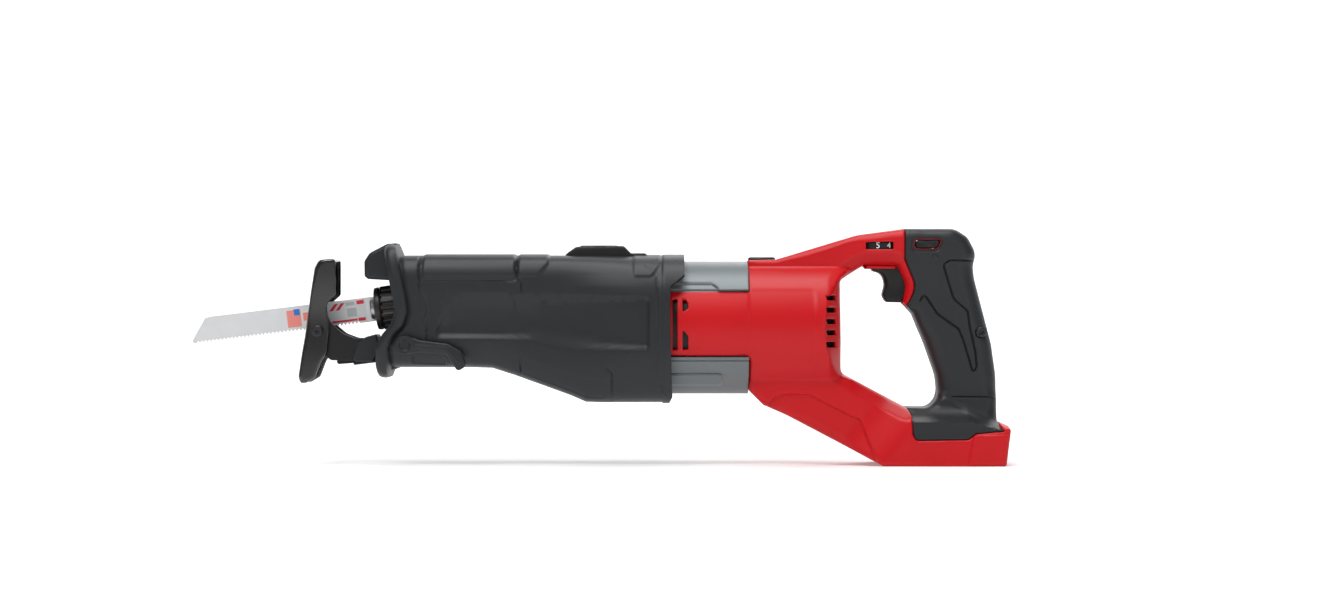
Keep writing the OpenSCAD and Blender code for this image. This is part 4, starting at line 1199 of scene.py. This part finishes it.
@dataclass
class Boot:
    """The rubber boot over the gear case, its dished front, visor and selector housing."""

    half: float = 39.0
    around: int = 256
    rows: int = 230
    span: tuple[float, float] = (-366, -178)
    top: float = 141.4
    band: float = 9.5
    hem: float = 2.4
    knob_x: float = -231.0
    well: float = 16.5

    def floor(self, x: np.ndarray) -> np.ndarray:
        """Height of the underside along the tool."""
        return np.interp(x, [-312.8, -298.5, -284.2, -255.7, -239.4, -227.1, -184],
                         [66, 65.5, 60.7, 49.2, 42.6, 42.2, 42.2])

    def sweep(self, x: np.ndarray) -> np.ndarray:
        """Half width along the tool."""
        return self.half + 1.2 * smooth((x + 350) / 50) + 7.0 * smooth((x + 262) / 66)

    def ring(self, x: float) -> np.ndarray:
        """One cross-section as (y, z), starting at the middle of the underside."""
        w = float(self.sweep(np.array([x]))[0])
        low, high = float(self.floor(np.array([x]))[0]), self.top
        a = np.linspace(0, 2 * math.pi, self.around, endpoint=False) - math.pi / 2
        power = 5.2 - 1.9 * float(smooth(np.array([(x + 262) / 66]))[0])
        c, s = np.cos(a), np.sin(a)
        y = w * np.sign(c) * np.abs(c) ** (2 / power)
        z = (high + low) / 2 + (high - low) / 2 * np.sign(s) * np.abs(s) ** (2 / power)
        return np.stack((y, z), 1)

    def front_edge(self, z: np.ndarray) -> np.ndarray:
        """Where the boot's front lip lies at each height."""
        table = np.array([(40, -364), (57.1, -376.9), (62, -379.5), (68.7, -380.6), (80.2, -380.6),
                          (88.4, -376), (96.6, -368.6), (106.1, -367.4), (119.7, -370.3), (135.3, -373.6),
                          (146.9, -376)])
        return np.interp(z, table[:, 0], table[:, 1])

    def rear_edge(self, z: np.ndarray) -> np.ndarray:
        """Where the boot ends at each height."""
        return np.interp(z, [42.2, 46.9, 52.7, 112, 120.4, 128, 140],
                         [-184.2, -182.0, -182.4, -183.6, -183.4, -174, -174])

    def side_drop(self, p: np.ndarray) -> np.ndarray:
        """Relief of the flanks, from their side view."""
        marks = [
            Panel(((-343, 86.9, 3), (-272, 86.4, 20), (-242, 80.2, 10), (-198, 79.0, 3), (-198, 112.9, 3),
                   (-323, 112.9, 4)), 2.6, 3.2),
            Panel(((-357, 68.9, 2), (-354.6, 74.1, 2), (-334.8, 73.4, 2), (-332.6, 67.7, 2)), 1.3, 1.2),
            Panel(((-289, 70.7, 3), (-286, 73.5, 3), (-240, 59, 8), (-227.1, 58, 3), (-226, 45, 4),
                   (-238, 45.6, 6), (-286, 64, 4)), 0.6, 1.2),
            Groove(((-351.6, 150, 0), (-351.6, 117, 3), (-347, 112, 3), (-347, 84, 0)), 1.0, 1.1),
            Groove(((-286.2, 150, 0), (-286.2, 127.5, 3), (-283.4, 124, 3), (-283.4, 117, 0)), 1.0, 1.1),
            Groove(((-222.5, 40, 0), (-222.5, 62, 3), (-226, 66, 0)), 1.0, 1.1),
            Groove(((-283.5, 55, 0), (-283.5, 72, 0)), 0.9, 1.0),
            Groove(((-189.7, 54, 0), (-181.6, 42.2, 0)), 0.6, 0.9),
            Groove(((-349, 124.6, 0), (-287, 124.6, 0)), 0.8, 1.0),
            Groove(((-192, 60, 2), (-192, 128, 4), (-200, 134, 0)), 0.5, 1.0),
        ]
        return sum(mark.drop(p) for mark in marks)

    def top_drop(self, p: np.ndarray) -> np.ndarray:
        """Relief of the top, from (x, z) with a slanted line between the panels."""
        marks = [
            Panel(((-348.8, 127.2, 2), (-287.6, 127.2, 2), (-287.6, 160, 0), (-348.8, 160, 0)), -0.9, 1.6),
            Panel(((-284.9, 127.2, 2), (-272, 127.2, 2), (-265.2, 135.7, 2), (-265.2, 160, 0),
                   (-284.9, 160, 0)),
                  -0.9, 1.6),
            Panel(((-208, 127, 2), (-196, 127, 2), (-190, 136, 2), (-190, 160, 0), (-208, 160, 0)), -0.6,
                  1.4),
        ]
        return sum(mark.drop(p) for mark in marks)

    def build(self) -> None:
        """Makes the boot's body, front, visor and selector housing."""
        rings = []
        for share, station in zip(np.linspace(0, 1, self.rows), np.linspace(*self.span, self.rows)):
            y, z = self.ring(station).T
            start = self.front_edge(z) + self.band
            x = start + (self.rear_edge(z) - start) * share
            rings.append(np.stack((x, y, z), 1))
        body = self._relief(np.concatenate(rings))
        faces = grid_faces(len(rings), self.around)
        centre = np.array((0, 92.0))
        tail = body[-self.around:].copy()
        yz = tail[:, 1:] - centre
        tail[:, 1:] = centre + yz * (1 - self.hem / np.linalg.norm(yz, axis=1))[:, None]
        faces += grid_faces(2, self.around, start=len(body) - self.around)
        front = self._front(body[:self.around])
        n = len(body) + self.around
        verts = np.concatenate((body, tail, front))
        faces += flipped(grid_faces(len(front) // self.around, self.around, start=n))
        faces += [tuple((n + v if v < self.around else v - self.around) for v in f)
                  for f in grid_faces(2, self.around)]
        piece("boot_shell", verts, faces, Finish.RUBBER, "frame", ["rubber_boot"], angle=34)
        self._visor()
        self._selector()

    def _relief(self, p: np.ndarray) -> np.ndarray:
        """Presses the panels and seams into the flanks and the top, and raises the cuff at the rear."""
        xz = p[:, (0, 2)]
        middle = (p[:, 2].max() + 60) / 2
        away = p[:, 1:] - np.array((0, middle))
        away /= np.linalg.norm(away, axis=1)[:, None] + 1e-9
        flank = smooth((np.abs(p[:, 1]) / self.sweep(p[:, 0]) - 0.55) / 0.3)
        roof = smooth((p[:, 2] - 124) / 3)
        cuff = 0.7 * smooth((p[:, 0] + 189.5) / 1.6)
        move = self.side_drop(xz) * flank + self.top_drop(xz) * roof - cuff
        behind = p[:, 0] - self.front_edge(p[:, 2]) - self.band
        move += 1.1 * smooth(1 - behind / 3.0)
        out = p.copy()
        out[:, 1:] -= away * move[:, None]
        return out

    def _front(self, edge: np.ndarray) -> np.ndarray:
        """Rings from the band over the lip and down to the mouth.

        Args:
            edge: the first ring of the body.
        Returns:
            Points, one ring after another.
        """
        yz = edge[:, 1:]
        z = yz[:, 1]
        out = yz - MOUTH_CENTRE
        unit = out / np.linalg.norm(out, axis=1)[:, None]
        lift = 5.0 * smooth((z - 128) / 10) - 4.4 * smooth((90 - z) / 16) * smooth((80 - z) / 12)
        up = np.stack((np.zeros(len(z)), lift), 1)
        lip_x = self.front_edge(z + lift * 0.8)
        mouth = self._mouth(unit)
        rings = []
        for share, grow in ((0.0, 0.0), (0.03, 0.9), (0.10, 2.3), (0.25, 3.4), (0.5, 4.0), (0.75, 3.8),
                            (0.9, 3.0), (0.97, 1.8), (1.0, 0.6)):
            x = edge[:, 0] + (lip_x - edge[:, 0]) * share
            spread = yz + unit * grow + up * min(1, share * 4)
            rings.append(np.stack((x, spread[:, 0], spread[:, 1]), 1))
        lip = rings[-1]
        for share, back in ((0.02, -0.2), (0.05, -0.1), (0.1, 0.8), (0.2, 2.2), (0.35, 4.0), (0.55, 5.2),
                            (0.75, 5.2), (0.9, 4.2), (0.97, 3.4), (1.0, 4.2), (1.0, 8), (1.0, 16)):
            spot = lip[:, 1:] + (mouth - lip[:, 1:]) * share
            rings.append(np.stack((lip[:, 0] * (1 - share) + share * -370 + back, spot[:, 0], spot[:, 1]), 1))
        return np.concatenate(rings)

    def _mouth(self, unit: np.ndarray) -> np.ndarray:
        """The keyhole opening around the collar and the shoe's post, seen from the front."""
        right = [(17.6, 66.5, 3), (17.6, 92, 2), (21.6, 104, 14), (18, 123, 16)]
        keyhole = rounded([(-17.6, 66.5, 3)] + right + [(0, 128.6, 20)]
                          + [(-y, z, r) for y, z, r in right[:0:-1]], 0.6)
        away = keyhole - MOUTH_CENTRE
        angle = np.arctan2(away[:, 1], away[:, 0])
        order = np.argsort(angle)
        reach = np.linalg.norm(away, axis=1)[order]
        want = np.arctan2(unit[:, 1], unit[:, 0])
        r = np.interp(want, angle[order], reach, period=2 * math.pi)
        return MOUTH_CENTRE + unit * r[:, None]

    def _visor(self) -> None:
        """The peak over the clamp, which holds the lamp."""
        outline = [(-389.5, 137.5, 3), (-386, 143, 6), (-374, 149.2, 2), (-368, 149.6, 0), (-368, 124.6, 0),
                   (-373, 124.6, 1), (-387.0, 125.4, 1.6), (-389.4, 127.4, 1.2)]
        line = rounded(outline, 0.8)
        shell = HalfShell(line, lambda p: 20.0 + 0 * p[:, 0], 2.6, grid=1.2)
        piece("lamp_visor", *both(*shell.build()), Finish.RUBBER, "frame")
        ring = [(-0.6, 4.2, 0.2), (0.9, 4.2, 0.2), (0.9, 4.9, 0.3), (-0.6, 5.2, 0.3)]
        piece("lamp_bezel", *lathe(ring, Vector((-389.0, 0, 132)), Vector((-1, 0, 0)), 64, step=0.4),
              Finish.BLACK, "frame")

    def _selector(self) -> None:
        """The flat housing around the orbit selector."""
        outline = rounded([(-255, 139, 0), (-254, 142.2, 2), (-246.8, 147.2, 3), (-214.5, 147.8, 3),
                           (-211.7, 144.8, 1), (-209.8, 142.9, 1), (-200.2, 142.9, 1), (-196, 139, 0)], 0.8)
        well = round_loop(self.knob_x, 0, self.well, 160)
        box = rounded([(-256, -19.5, 7), (-196, -19.5, 4), (-196, 19.5, 4), (-256, 19.5, 7)], 0.9)
        grid = np.array([(x, y) for x in np.arange(-255, -196, 1.1) for y in np.arange(-19, 19.1, 1.1)])
        free = inside(grid, box) & (nearest(grid, box) > 0.3) & ~inside(grid,
                                                                        well) & (nearest(grid, well) > 0.3)
        flat, tri = filled(np.concatenate((box, well, grid[free])), [box, well])
        top = outline[outline[:, 1] > 139.2]
        top = top[np.argsort(top[:, 0])]
        round_edge, round_well = 2.2, 0.6
        edge = round_edge - np.clip(nearest(flat, box), 0, round_edge)
        rim = np.clip(np.abs(np.linalg.norm(flat - (self.knob_x, 0), axis=1) - self.well), 0, 1.0)
        z = np.interp(flat[:, 0], top[:, 0], top[:, 1]) - round_edge - round_well * (1 - rim) ** 2
        z += np.sqrt(np.maximum(round_edge ** 2 - edge ** 2, 0))
        made = [(np.stack((flat[:, 0], flat[:, 1], z), 1), tri)]
        for loop, foot, drop in ((box, 138.0, round_edge), (well, 141.8, round_well)):
            level = np.interp(loop[:, 0], top[:, 0], top[:, 1]) - drop
            lower, upper = (np.column_stack((loop, at)) for at in (np.minimum(level - 0.2, foot), level))
            wall = grid_faces(2, len(loop))
            made.append((np.concatenate((lower, upper)), wall if loop is box else flipped(wall)))
        verts, faces = joined(made)
        piece("selector_housing", verts, faces, Finish.BLACK, "frame", angle=32)


@dataclass
class Nose:
    """Blade clamp collar, blade, shoe with its bracket, and the release lever."""

    blade_reach: float = 122.2
    blade_high: float = 17.0
    blade_thick: float = 1.3
    tooth: float = 2.55
    shoe_half: float = 20.0
    lever_inside: float = 42.9

    def blade(self) -> None:
        """The saw blade with its teeth, gullets and swept back tip."""
        reach = -self.blade_reach
        top, foot = self.blade_high / 2, -self.blade_high / 2
        line = [(9.5, 6.0), (9.5, top - 0.6), (8.6, top), (reach + 15.5, top), (reach + 11, top - 0.4),
                (reach + 1.2, foot + 3.2), (reach + 0.6, foot + 1.6), (reach + 1.4, foot + 0.3)]
        at = reach + 3.0
        while at < -9:
            line += [(at, foot), (at + 0.35, foot + 0.3), (at + 1.0, foot + 1.35), (at + 1.7, foot + 1.45),
                     (at + self.tooth - 0.25, foot + 0.25)]
            at += self.tooth
        line += [(at, foot + 0.2), (6, foot + 0.4), (8.6, foot + 1.2), (9.5, foot + 3)]
        edge = np.array(line)
        t = self.blade_thick / 2
        flat, tri = filled(edge, [edge], 1, 1e-5)
        m, after = len(edge), np.roll(edge, -1, axis=0)
        sides = [(i, m + i, m + (i + 1) % m, (i + 1) % m) for i in range(m)]
        if (after[:, 1] * edge[:, 0] - after[:, 0] * edge[:, 1]).sum() < 0:
            sides = flipped(sides)
        border = np.concatenate((upright(edge, -t), upright(edge, t)))
        verts, faces = joined([(upright(flat, -t), tri), (upright(flat, t), flipped(tri)), (border, sides)])
        place = Matrix.Translation(SPINDLE_MM * MM) @ Matrix.Rotation(-TILT, 4, "Y")
        piece("blade_body", verts, faces, Finish.BLADE, "spindle", ["saw_blade"], angle=25, place=place)

    def collar(self) -> None:
        """The knurled twist collar of the blade clamp."""
        low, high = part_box("clamp_collar")
        length = (high.x - low.x) / MM / math.cos(TILT)
        mid = (low + high) / 2 / MM
        r = (high.y - low.y) / 2 / MM
        axis = Vector((math.cos(TILT), 0, math.sin(TILT)))
        start = Vector((mid.x, 0, mid.z)) - axis * (length / 2 - 4.6)
        size = length - 6.0

        def ribs(rows: np.ndarray) -> np.ndarray:
            """Grip ribs round the middle of the collar."""
            zone = smooth((rows[:, 0] - size * 0.26) / 0.8) * smooth((size * 0.84 - rows[:, 0]) / 0.8)
            outside = rows[:, 2] > r - 2.2
            wave = np.clip(np.cos(18 * rows[:, 1]) * 2.2, -1, 1)
            return np.where(outside, zone * 0.55 * (wave - 1), 0)

        profile = [(0.6, r - 4.6, 0.5), (0, r - 3.0, 0.8), (0.4, r - 0.9, 0.8), (size * 0.2, r - 0.5, 0.6),
                   (size * 0.23, r - 1.6, 0.4), (size * 0.26, r - 0.2, 0.5), (size * 0.84, r, 0.5),
                   (size * 0.87, r - 1.4, 0.4), (size, r - 1.8, 0.6), (size, r - 5.2, 0.5), (2, r - 5.2, 0.4)]
        made = lathe(profile, start, axis, 216, ribs, step=0.6)
        piece("collar_sleeve", *made, Finish.COLLAR, "collar", ["clamp_collar"], angle=34)
        core = [(-3.4, 3.2, 0.3), (-3.4, 6.6, 0.8), (-0.6, 7.4, 0.6), (0.4, r - 5.4, 0.6),
                (size - 1, r - 5.4, 0.5), (size - 1, 3.2, 0.3)]
        made = lathe(core, start, axis, 96, step=0.8)
        piece("collar_core_ring", *made, Finish.GEAR, "spindle", ["clamp_core"], angle=34)

    def shoe(self) -> None:
        """The pivoting shoe plate with its blade slot."""
        side = rounded([(-410.6, 139.2, 2.5), (-420.2, 138.4, 4), (-423.2, 133, 6), (-429, 92, 60),
                        (-434.0, 59.6, 4), (-432.6, 55.0, 2.2), (-428.6, 55.4, 2), (-422.5, 59.0, 4),
                        (-418.6, 69.4, 4), (-414.4, 76, 8), (-413.0, 92, 20), (-414.8, 109, 5),
                        (-408.6, 114.6, 3), (-408.6, 137.8, 2.5)], 0.8)
        radii = [(-432, 57, 2.6), (-429, 92, 3.4), (-422, 134, 3), (-412, 138, 1.6), (-409, 116, 0.7),
                 (-413, 93, 0.7), (-414, 76, 0.9), (-424, 60, 1.4), (-409, 130, 0.8)]

        def height(p: np.ndarray) -> np.ndarray:
            """Half width, waisted a little in the middle."""
            return self.shoe_half - 0.9 * np.exp(-((p[:, 1] - 98) / 20) ** 2)

        def end(p: np.ndarray) -> np.ndarray:
            """The front wall reaches the blade slot, and the back is open."""
            front = (p[:, 0] < -426 + 0.135 * (p[:, 1] - 92)) | (p[:, 1] > 137.9)
            low = (p[:, 1] > 76) & (p[:, 1] < 124)
            return np.where(front, np.where(low, 5.0, 0.0), -1.0)

        shell = HalfShell(side, height, lambda p: mixed(p, radii), (), end, 1.0)
        piece("shoe_shell", *both(*shell.build()), Finish.SHOE, "shoe", ["shoe_plate"], wall=2.2, angle=40)

    def bracket(self) -> None:
        """The arms that carry the shoe, with their block and pivot screws."""
        turn = Matrix.Rotation(-TILT, 4, "Y")

        def tilted(*corners: Corner) -> list[Corner]:
            """Corners of the side view from corners on the spindle's own axes."""
            spots = [SPINDLE_MM + turn @ Vector((u, 0, w)) for u, w, _ in corners]
            return [(spot.x, spot.z, corner[2]) for spot, corner in zip(spots, corners)]

        arm = [(-424.6, 90.4, 3.5), (-420.6, 96.4, 4), (-415.6, 102.6, 1.2), (-412.2, 95.5, 8),
               (-404, 88.6, 10), (-396, 85.6, 5), (-388.6, 85.4, 1), (-386, 70.6, 1), (-413, 70.6, 4),
               (-417.0, 77, 6)]
        block = tilted((-26, -34, 1.5), (-13.5, -34.6, 1.5), (-13.5, -23.6, 1.5), (-21.5, -23.6, 3))
        tongue = tilted((-14.2, -35.8, 1), (8, -35.8, 2), (8, -23.2, 2), (-14.2, -23.2, 1))
        made = [plate(arm, s * 13 - 3, s * 13 + 3) for s in (-1, 1)] + [plate(block, -10, 10)]
        made += [plate(tongue, *sorted((s * 9.2, s * 12.2))) for s in (-1, 1)]
        cover = [(-397, 74.5, 2), (-394.5, 81.5, 2), (-388.5, 86.5, 2), (-381.5, 88.4, 1), (-379.5, 78, 1),
                 (-384, 69.5, 1), (-396.5, 70, 2)]
        piece("shoe_post_cover", *plate(cover, -16.8, 16.8), Finish.RUBBER, "shoe_slider", bevel=1.6)
        piece("shoe_bracket_arms", *joined(made), Finish.BLACK, "shoe_slider", ["shoe_bracket"], angle=35,
              bevel=0.6)
        low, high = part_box("shoe_pins")
        mid, reach = (low + high) / 2 / MM, (high.y - low.y) / 2 / MM

        def star(rows: np.ndarray) -> np.ndarray:
            """The socket in the pivot's head."""
            return np.where((rows[:, 2] < 1.7) & (rows[:, 0] > -1.8), 0.2 * np.cos(6 * rows[:, 1]), 0)

        profile = [(-1.4, 0.02, 0), (-1.4, 1.2, 0.1), (0, 1.4, 0.1), (0.05, 3.1, 0.3), (-0.5, 3.8, 0.3),
                   (-1.7, 3.8, 0.2), (-1.7, 2.9, 0.1), (-12, 2.9, 0.2), (-12, 0.02, 0)]
        pins = [lathe(profile, Vector((mid.x, s * reach, mid.z)), Vector((0, s, 0)), 48, star, closed=False,
                      step=0.4)
                for s in (-1, 1)]
        piece("shoe_pivot_screws", *joined(pins), Finish.SCREW, "shoe_slider", ["shoe_pins"])

    def lever(self) -> None:
        """The shoe release lever and its boss."""
        outline = rounded([(-366.2, 84.2, 4), (-360.2, 87.8, 6), (-350, 84.4, 4), (-332, 82.2, 10),
                           (-322.6, 77.2, 5), (-319.0, 67.6, 3.4), (-325.2, 63.6, 2.4), (-328.6, 69, 4),
                           (-332.8, 75.2, 4), (-350, 76.4, 8), (-361, 75.0, 6), (-366.4, 78.4, 4)], 0.7)
        spine = rounded([(-356, 80.6, 0), (-333, 78.6, 6), (-323.5, 70, 0)], 1, False)
        pivot = (-360.4, 81.3)

        def height(p: np.ndarray) -> np.ndarray:
            """Thickness over the plate's inner face."""
            boss = np.linalg.norm(p - pivot, axis=1)
            tip = np.linalg.norm(p - (-324, 69), axis=1)
            ridge = 0.7 * np.exp(-(nearest(p, spine, False) / 1.6) ** 2)
            hub = 1.0 * smooth((6.6 - boss) / 1.2) - 0.9 * smooth((4.2 - boss) / 0.8)
            return 2.3 + hub + ridge + 0.5 * np.exp(-(tip / 4) ** 2)

        v, f = HalfShell(outline, height, 1.1, grid=0.8).build()
        out = (0, -self.lever_inside, 0)
        stem = lathe([(-3.6, 3.95, 0.2), (-3.6, 6.2, 0.4), (2.6, 6.2, 0.4), (2.6, 3.95, 0.2)],
                     Vector((pivot[0], out[1], pivot[1])), Vector((0, 1, 0)), 64, step=0.8)
        made = joined([(v + out, f), (v * (1, -0.9, 1) + out, flipped(f)), stem])
        piece("release_lever_arm", *made, Finish.RUBBER, "shoe_release", ["shoe_lever"], angle=36)

    def lens(self) -> None:
        """A clear domed lens."""
        low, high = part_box("work_light_lens")
        mid = (low + high) / 2 / MM
        front = low.x / MM
        dome = [(0, 0.02, 0), (0.1, 1.5, 1), (0.7, 3.2, 1), (1.6, 3.95, 0.3), (7, 3.95, 0.3), (7, 0.02, 0)]
        made = lathe(dome, Vector((front, 0, mid.z)), Vector((1, 0, 0)), 64, closed=False, step=0.4)
        piece("lamp_lens_dome", *made, Finish.LENS, "frame", ["work_light_lens"])

    def build(self) -> None:
        """Makes the pieces of the nose."""
        self.blade()
        self.collar()
        self.shoe()
        self.bracket()
        self.lever()
        self.lens()


@dataclass
class Selector:
    """The knurled orbit knob."""

    teeth: int = 44

    def build(self) -> None:
        """Makes the knob."""
        low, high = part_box("orbit_knob")
        mid, r = (low + high) / 2 / MM, (high.y - low.y) / 2 / MM
        base = low.z / MM

        def knurl(rows: np.ndarray) -> np.ndarray:
            """Teeth round the knob's edge."""
            return np.where(rows[:, 2] > r - 1.2, 0.3 * np.cos(self.teeth * rows[:, 1]) - 0.3, 0)

        profile = [(0, 2, 0.4), (0, r - 0.4, 0.5), (3.6, r, 0.8), (4.4, r - 1.4, 0.8), (4.2, r - 3.2, 0.6),
                   (3.6, r - 4.4, 0.6), (3.6, 0.02, 0)]
        disc = lathe(profile, Vector((mid.x, 0, base)), Vector((0, 0, 1)), self.teeth * 6, knurl,
                     closed=False, step=0.6)
        bar = rounded([(-13.6, -1.2, 1), (-4, -3.6, 4), (13, -3.6, 3), (13, 3.6, 3), (-4, 3.6, 4),
                       (-13.6, 1.2, 1)], 0.7)
        rings = [np.stack((mid.x + bar[:, 0] * s, bar[:, 1] * s, np.full(len(bar), base + z)), 1)
                 for s, z in ((1.0, 3.2), (1.0, 5.2), (0.97, 5.8), (0.92, 6.05))]
        made = joined([disc, loft(rings, (False, True))])
        piece("orbit_knob_wheel", *made, Finish.BLACK, "orbit_selector", ["orbit_knob"], angle=30)


@dataclass
class TopPad:
    """The soft strip along the front of the housing's top."""

    around: int = 60

    def build(self) -> None:
        """Makes the strip."""
        low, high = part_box("top_pad")
        x0, x1, top = low.x / MM, high.x / MM, high.z / MM
        half = (high.y - low.y) / 2 / MM
        foot = low.z / MM
        rings = []
        for x, s in ((x0, 0.82), (x0 + 0.5, 0.93), (x0 + 1.4, 1.0), ((x0 + x1) / 2, 1.0), (x1 - 1.4, 1.0),
                     (x1 - 0.5, 0.93), (x1, 0.82)):
            side, crown = half * s, foot + (top - foot) * s
            line = rounded([(-side, foot, 0.3), (side, foot, 0.3), (side, crown, 1.6), (-side, crown, 1.6)],
                           0.8)
            line = line[np.linspace(0, len(line) - 1, self.around).astype(int)]
            rings.append(np.column_stack((np.full(self.around, x), line)))
        piece("top_pad_strip", *loft(rings, (True, True)), Finish.RUBBER, "frame", ["top_pad"], angle=36)


# ---------------------------------------------------------------- studio
@dataclass
class Studio:
    """A pale floor with a curved backdrop, soft lights and the camera."""

    eye: Vector = Vector((-0.191, -2.4, 0.114))
    lens: float = 96.6

    def floor(self) -> None:
        """A floor that rises behind the tool."""
        line = rounded([(-9.0, 0, 0), (2.6, 0, 1.2), (3.4, 3.4, 0)], 0.06, False)
        verts = [(x, y, z) for x in (-8.0, 8.0) for y, z in line]
        n = len(line)
        faces = [(i, n + i, n + i + 1, i + 1) for i in range(n - 1)]
        mesh = bpy.data.meshes.new("floor")
        mesh.from_pydata(verts, [], faces)
        thing = bpy.data.objects.new("studio_floor", mesh)
        bpy.context.scene.collection.objects.link(thing)
        mesh.materials.append(PAINTS.extra("studio_white", Backdrop((0.80, 0.80, 0.80), 0.85)))
        mesh.shade_smooth()

    def light(self, name: str, spot: Vector, aim: Vector, size: float, power: float) -> None:
        """One soft square light."""
        data = bpy.data.lights.new(name, "AREA")
        data.size, data.energy = size, power
        thing = bpy.data.objects.new(name, data)
        thing.location = spot
        thing.rotation_euler = (aim - spot).to_track_quat("-Z", "Y").to_euler()
        bpy.context.scene.collection.objects.link(thing)

    def build(self) -> None:
        """Sets the studio up."""
        self.floor()
        middle = Vector((-0.22, 0, 0.09))
        for name, spot, size, power in (("key", (-0.75, -1.15, 1.75), 0.7, 21),
                                        ("top", (-0.15, -0.1, 1.8), 0.9, 17),
                                        ("fill", (1.1, -1.7, 0.7), 0.9, 4),
                                        ("back", (0.3, 1.7, 1.3), 1.2, 9)):
            self.light(name, Vector(spot), middle, size, power)
        world = bpy.data.worlds.new("soft")
        world.use_nodes = True
        sky = world.node_tree.nodes["Background"].inputs
        sky["Color"].default_value, sky["Strength"].default_value = (1, 1, 1, 1), 0.2
        bpy.context.scene.world = world
        bpy.context.scene.view_settings.view_transform = "Standard"
        data = bpy.data.cameras.new("view")
        data.lens, data.sensor_width, data.clip_end = self.lens, 36, 60
        eye = bpy.data.objects.new("view", data)
        eye.location = self.eye
        eye.rotation_euler = (math.radians(90), 0, 0)
        bpy.context.scene.collection.objects.link(eye)
        bpy.context.scene.camera = eye


def main() -> None:
    """Builds the tool and its studio in order."""
    logging.basicConfig(level=logging.INFO, format="%(message)s")
    PAINTS.dress_nodes()
    Studio().build()
    handle = Handle()
    handle.build()
    handle.vent_shade_sheets()
    BatteryFoot().build()
    Screws().build(handle)
    Controls().build(handle)
    GearCase().build()
    Boot().build()
    Nose().build()
    Selector().build()
    TopPad().build()


if __name__ == "__main__":
    main()
